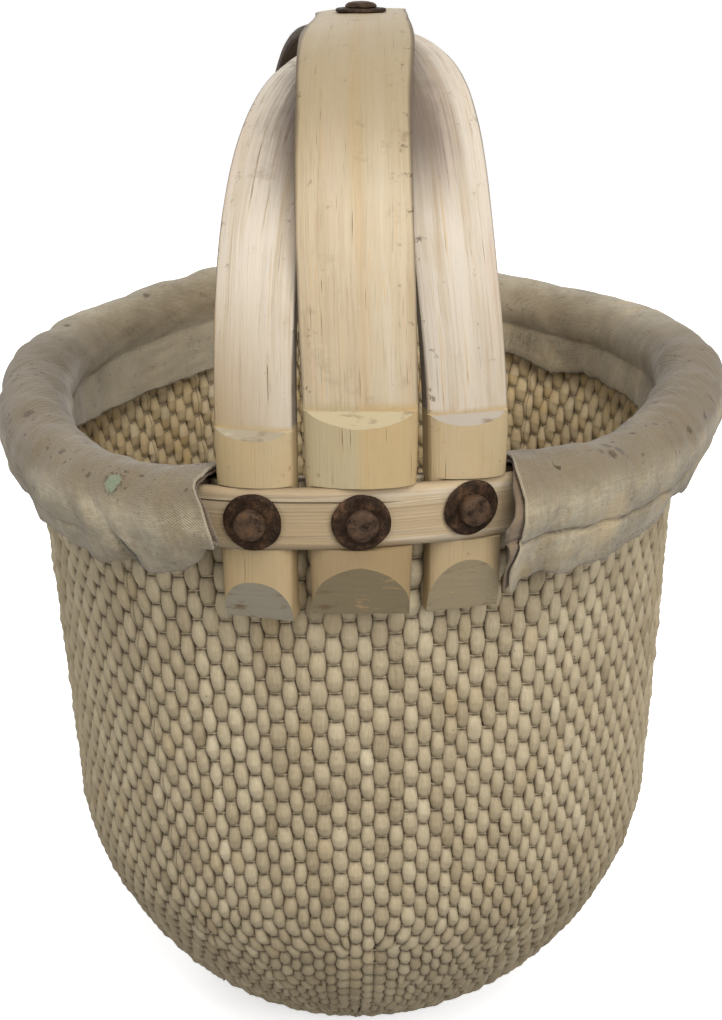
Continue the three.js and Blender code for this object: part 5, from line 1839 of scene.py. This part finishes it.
class BASKET_OT_handles(bpy.types.Operator):
    """Shape the three bent handles, with their sawn ledges and bevels"""

    bl_idname = "basket.handles"
    bl_label = "Shape the handles"

    def execute(self, context):
        look = settings()[1]
        shared = [notch_cutter(), tub_cutter()]
        bases = {"left": look.wood_side, "right": look.wood_side, "center": look.wood_center}
        for i, name in enumerate(STRIPS):
            shift = (0.13 * i, 0.4 * i, 0.2 * i)
            ledge, bevel = getattr(look, f"ledge_{name}"), getattr(look, f"bevel_{name}")
            wood = wood_finish(look, name, bases[name], shift, -STRIPS[name]["side"])
            sawn = sawn_finish(look, name, ledge, bevel)
            bent_strip(name, SEEDS["handles"] + 3 * i, shared, wood, sawn)
        for cutter in shared:
            bpy.data.objects.remove(cutter)
        return {"FINISHED"}


class BASKET_OT_iron(bpy.types.Operator):
    """Hammer the nails, washers, roves and studs out of rusty iron"""

    bl_idname = "basket.iron"
    bl_label = "Hammer the iron"

    def execute(self, context):
        size, look = settings()
        rough = size.iron_rough
        rusty = iron_finish(look, "Rusty iron", look.iron)
        worn = iron_finish(look, "Worn iron", look.iron_worn)
        for i, node in enumerate(sorted(NODES)):
            seed = SEEDS["iron"] + 5 * i
            name = f"{node}_iron"
            if "washer" in node:
                *line, _ = line_of(node, flat=True)
                piece = turned_iron(name, WASHER_PROFILE, line, rough, seed, True, rusty)
            elif "nail" in node or "rivet" in node:
                *line, half = line_of(node, flat=False)
                head = LOW_HEAD_PROFILE if "crown" in node else HEAD_PROFILE
                profile = [(r, h - half) for r, h in CLENCH_PROFILE]
                profile += [(r, h + half) for r, h in head]
                piece = turned_iron(name, profile, line, rough * 0.6, seed, False, worn)
            elif "rove" in node or "stud" in node:
                piece = small_iron(node, name, seed, rough * 0.4, rusty)
            else:
                continue
            keep(piece, node)
        return {"FINISHED"}


# The stage: the world's light on the object, what the camera sees behind it, and each
# lamp with its name, place, width and power
WORLD_LIGHT = 0.5
BACKGROUND = 1.0
LAMPS = (
    ("key", (1.3, -2.0, 1.7), 1.4, 31),
    ("fill", (-1.7, -1.7, 1.3), 1.8, 11),
    ("top", (0.2, -1.3, 2.4), 1.2, 30),
    ("back", (-0.5, 2.2, 1.5), 1.8, 12),
)
LAMPS_AIM = (0, 0, 0.35)
CAMERA_PLACE = (-0.00175, -0.83405, 0.7077)
CAMERA_TILT = 67.47
CAMERA_LENS = 50
CAMERA_SENSOR = 36
FLOOR_SIZE = 80


def light_world(scene):
    """A plain light all round, and a white background for the camera and for metal."""
    world = bpy.data.worlds.new("Studio")
    scene.world = world
    world.use_nodes = True
    nodes, links = world.node_tree.nodes, world.node_tree.links
    nodes.clear()
    output = nodes.new("ShaderNodeOutputWorld")
    pick = nodes.new("ShaderNodeMixShader")
    path = nodes.new("ShaderNodeLightPath")
    seen = nodes.new("ShaderNodeMath")
    seen.operation = "MAXIMUM"
    links.new(path.outputs["Is Camera Ray"], seen.inputs[0])
    links.new(path.outputs["Is Glossy Ray"], seen.inputs[1])
    for i, strength in enumerate((WORLD_LIGHT, BACKGROUND)):
        glow = nodes.new("ShaderNodeBackground")
        glow.inputs[0].default_value = (1, 1, 1, 1)
        glow.inputs[1].default_value = strength
        links.new(glow.outputs[0], pick.inputs[1 + i])
    links.new(seen.outputs[0], pick.inputs[0])
    links.new(pick.outputs[0], output.inputs[0])


def hang_lamps(scene):
    """Round lamps that all face the basket."""
    for name, place, width, power in LAMPS:
        lamp = bpy.data.lights.new(name, "AREA")
        lamp.shape = "DISK"
        lamp.size = width
        lamp.energy = power
        holder = bpy.data.objects.new(name, lamp)
        scene.collection.objects.link(holder)
        holder.location = place
        aim = Vector(LAMPS_AIM) - Vector(place)
        holder.rotation_euler = aim.to_track_quat("-Z", "Y").to_euler()


def set_camera(scene):
    view = bpy.data.cameras.new("view")
    view.lens = CAMERA_LENS
    view.sensor_width = CAMERA_SENSOR
    camera = bpy.data.objects.new("view", view)
    scene.collection.objects.link(camera)
    camera.location = CAMERA_PLACE
    camera.rotation_euler = (math.radians(CAMERA_TILT), 0, 0)
    scene.camera = camera


class BASKET_OT_stage(bpy.types.Operator):
    """Set the floor, the lights and the camera"""

    bl_idname = "basket.stage"
    bl_label = "Set the stage"

    def execute(self, context):
        scene = context.scene
        look = settings()[1]
        bpy.ops.object.select_all(action="DESELECT")
        bpy.ops.mesh.primitive_plane_add(size=FLOOR_SIZE, location=(0, 0, 0))
        floor = context.active_object
        floor.name = "floor"
        floor.data.materials.append(floor_finish(look))
        light_world(scene)
        hang_lamps(scene)
        set_camera(scene)
        scene.view_settings.view_transform = "Standard"
        return {"FINISHED"}


OPERATORS = (
    BASKET_OT_weave,
    BASKET_OT_padding,
    BASKET_OT_cloth,
    BASKET_OT_hoops,
    BASKET_OT_handles,
    BASKET_OT_iron,
    BASKET_OT_stage,
)


class BASKET_PT_panel(bpy.types.Panel):
    """Lists the steps and the settings of the basket"""

    bl_idname = "BASKET_PT_panel"
    bl_label = "Willow Basket"
    bl_space_type = "VIEW_3D"
    bl_region_type = "UI"
    bl_category = "Basket"

    def draw(self, context):
        for operator in OPERATORS:
            self.layout.operator(operator.bl_idname)
        for group in settings():
            box = self.layout.box()
            for name in group.__annotations__:
                box.prop(group, name)


CLASSES = (BasketSizes, BasketColours, *OPERATORS, BASKET_PT_panel)


def register():
    for cls in CLASSES:
        bpy.utils.register_class(cls)
    bpy.types.Scene.basket_sizes = bpy.props.PointerProperty(type=BasketSizes)
    bpy.types.Scene.basket_colours = bpy.props.PointerProperty(type=BasketColours)


def unregister():
    del bpy.types.Scene.basket_colours
    del bpy.types.Scene.basket_sizes
    for cls in reversed(CLASSES):
        bpy.utils.unregister_class(cls)


def main():
    register()
    bpy.ops.object.select_all(action="DESELECT")
    for operator in OPERATORS:
        group, step = operator.bl_idname.split(".")
        getattr(getattr(bpy.ops, group), step)()


if __name__ == "__main__":
    main()
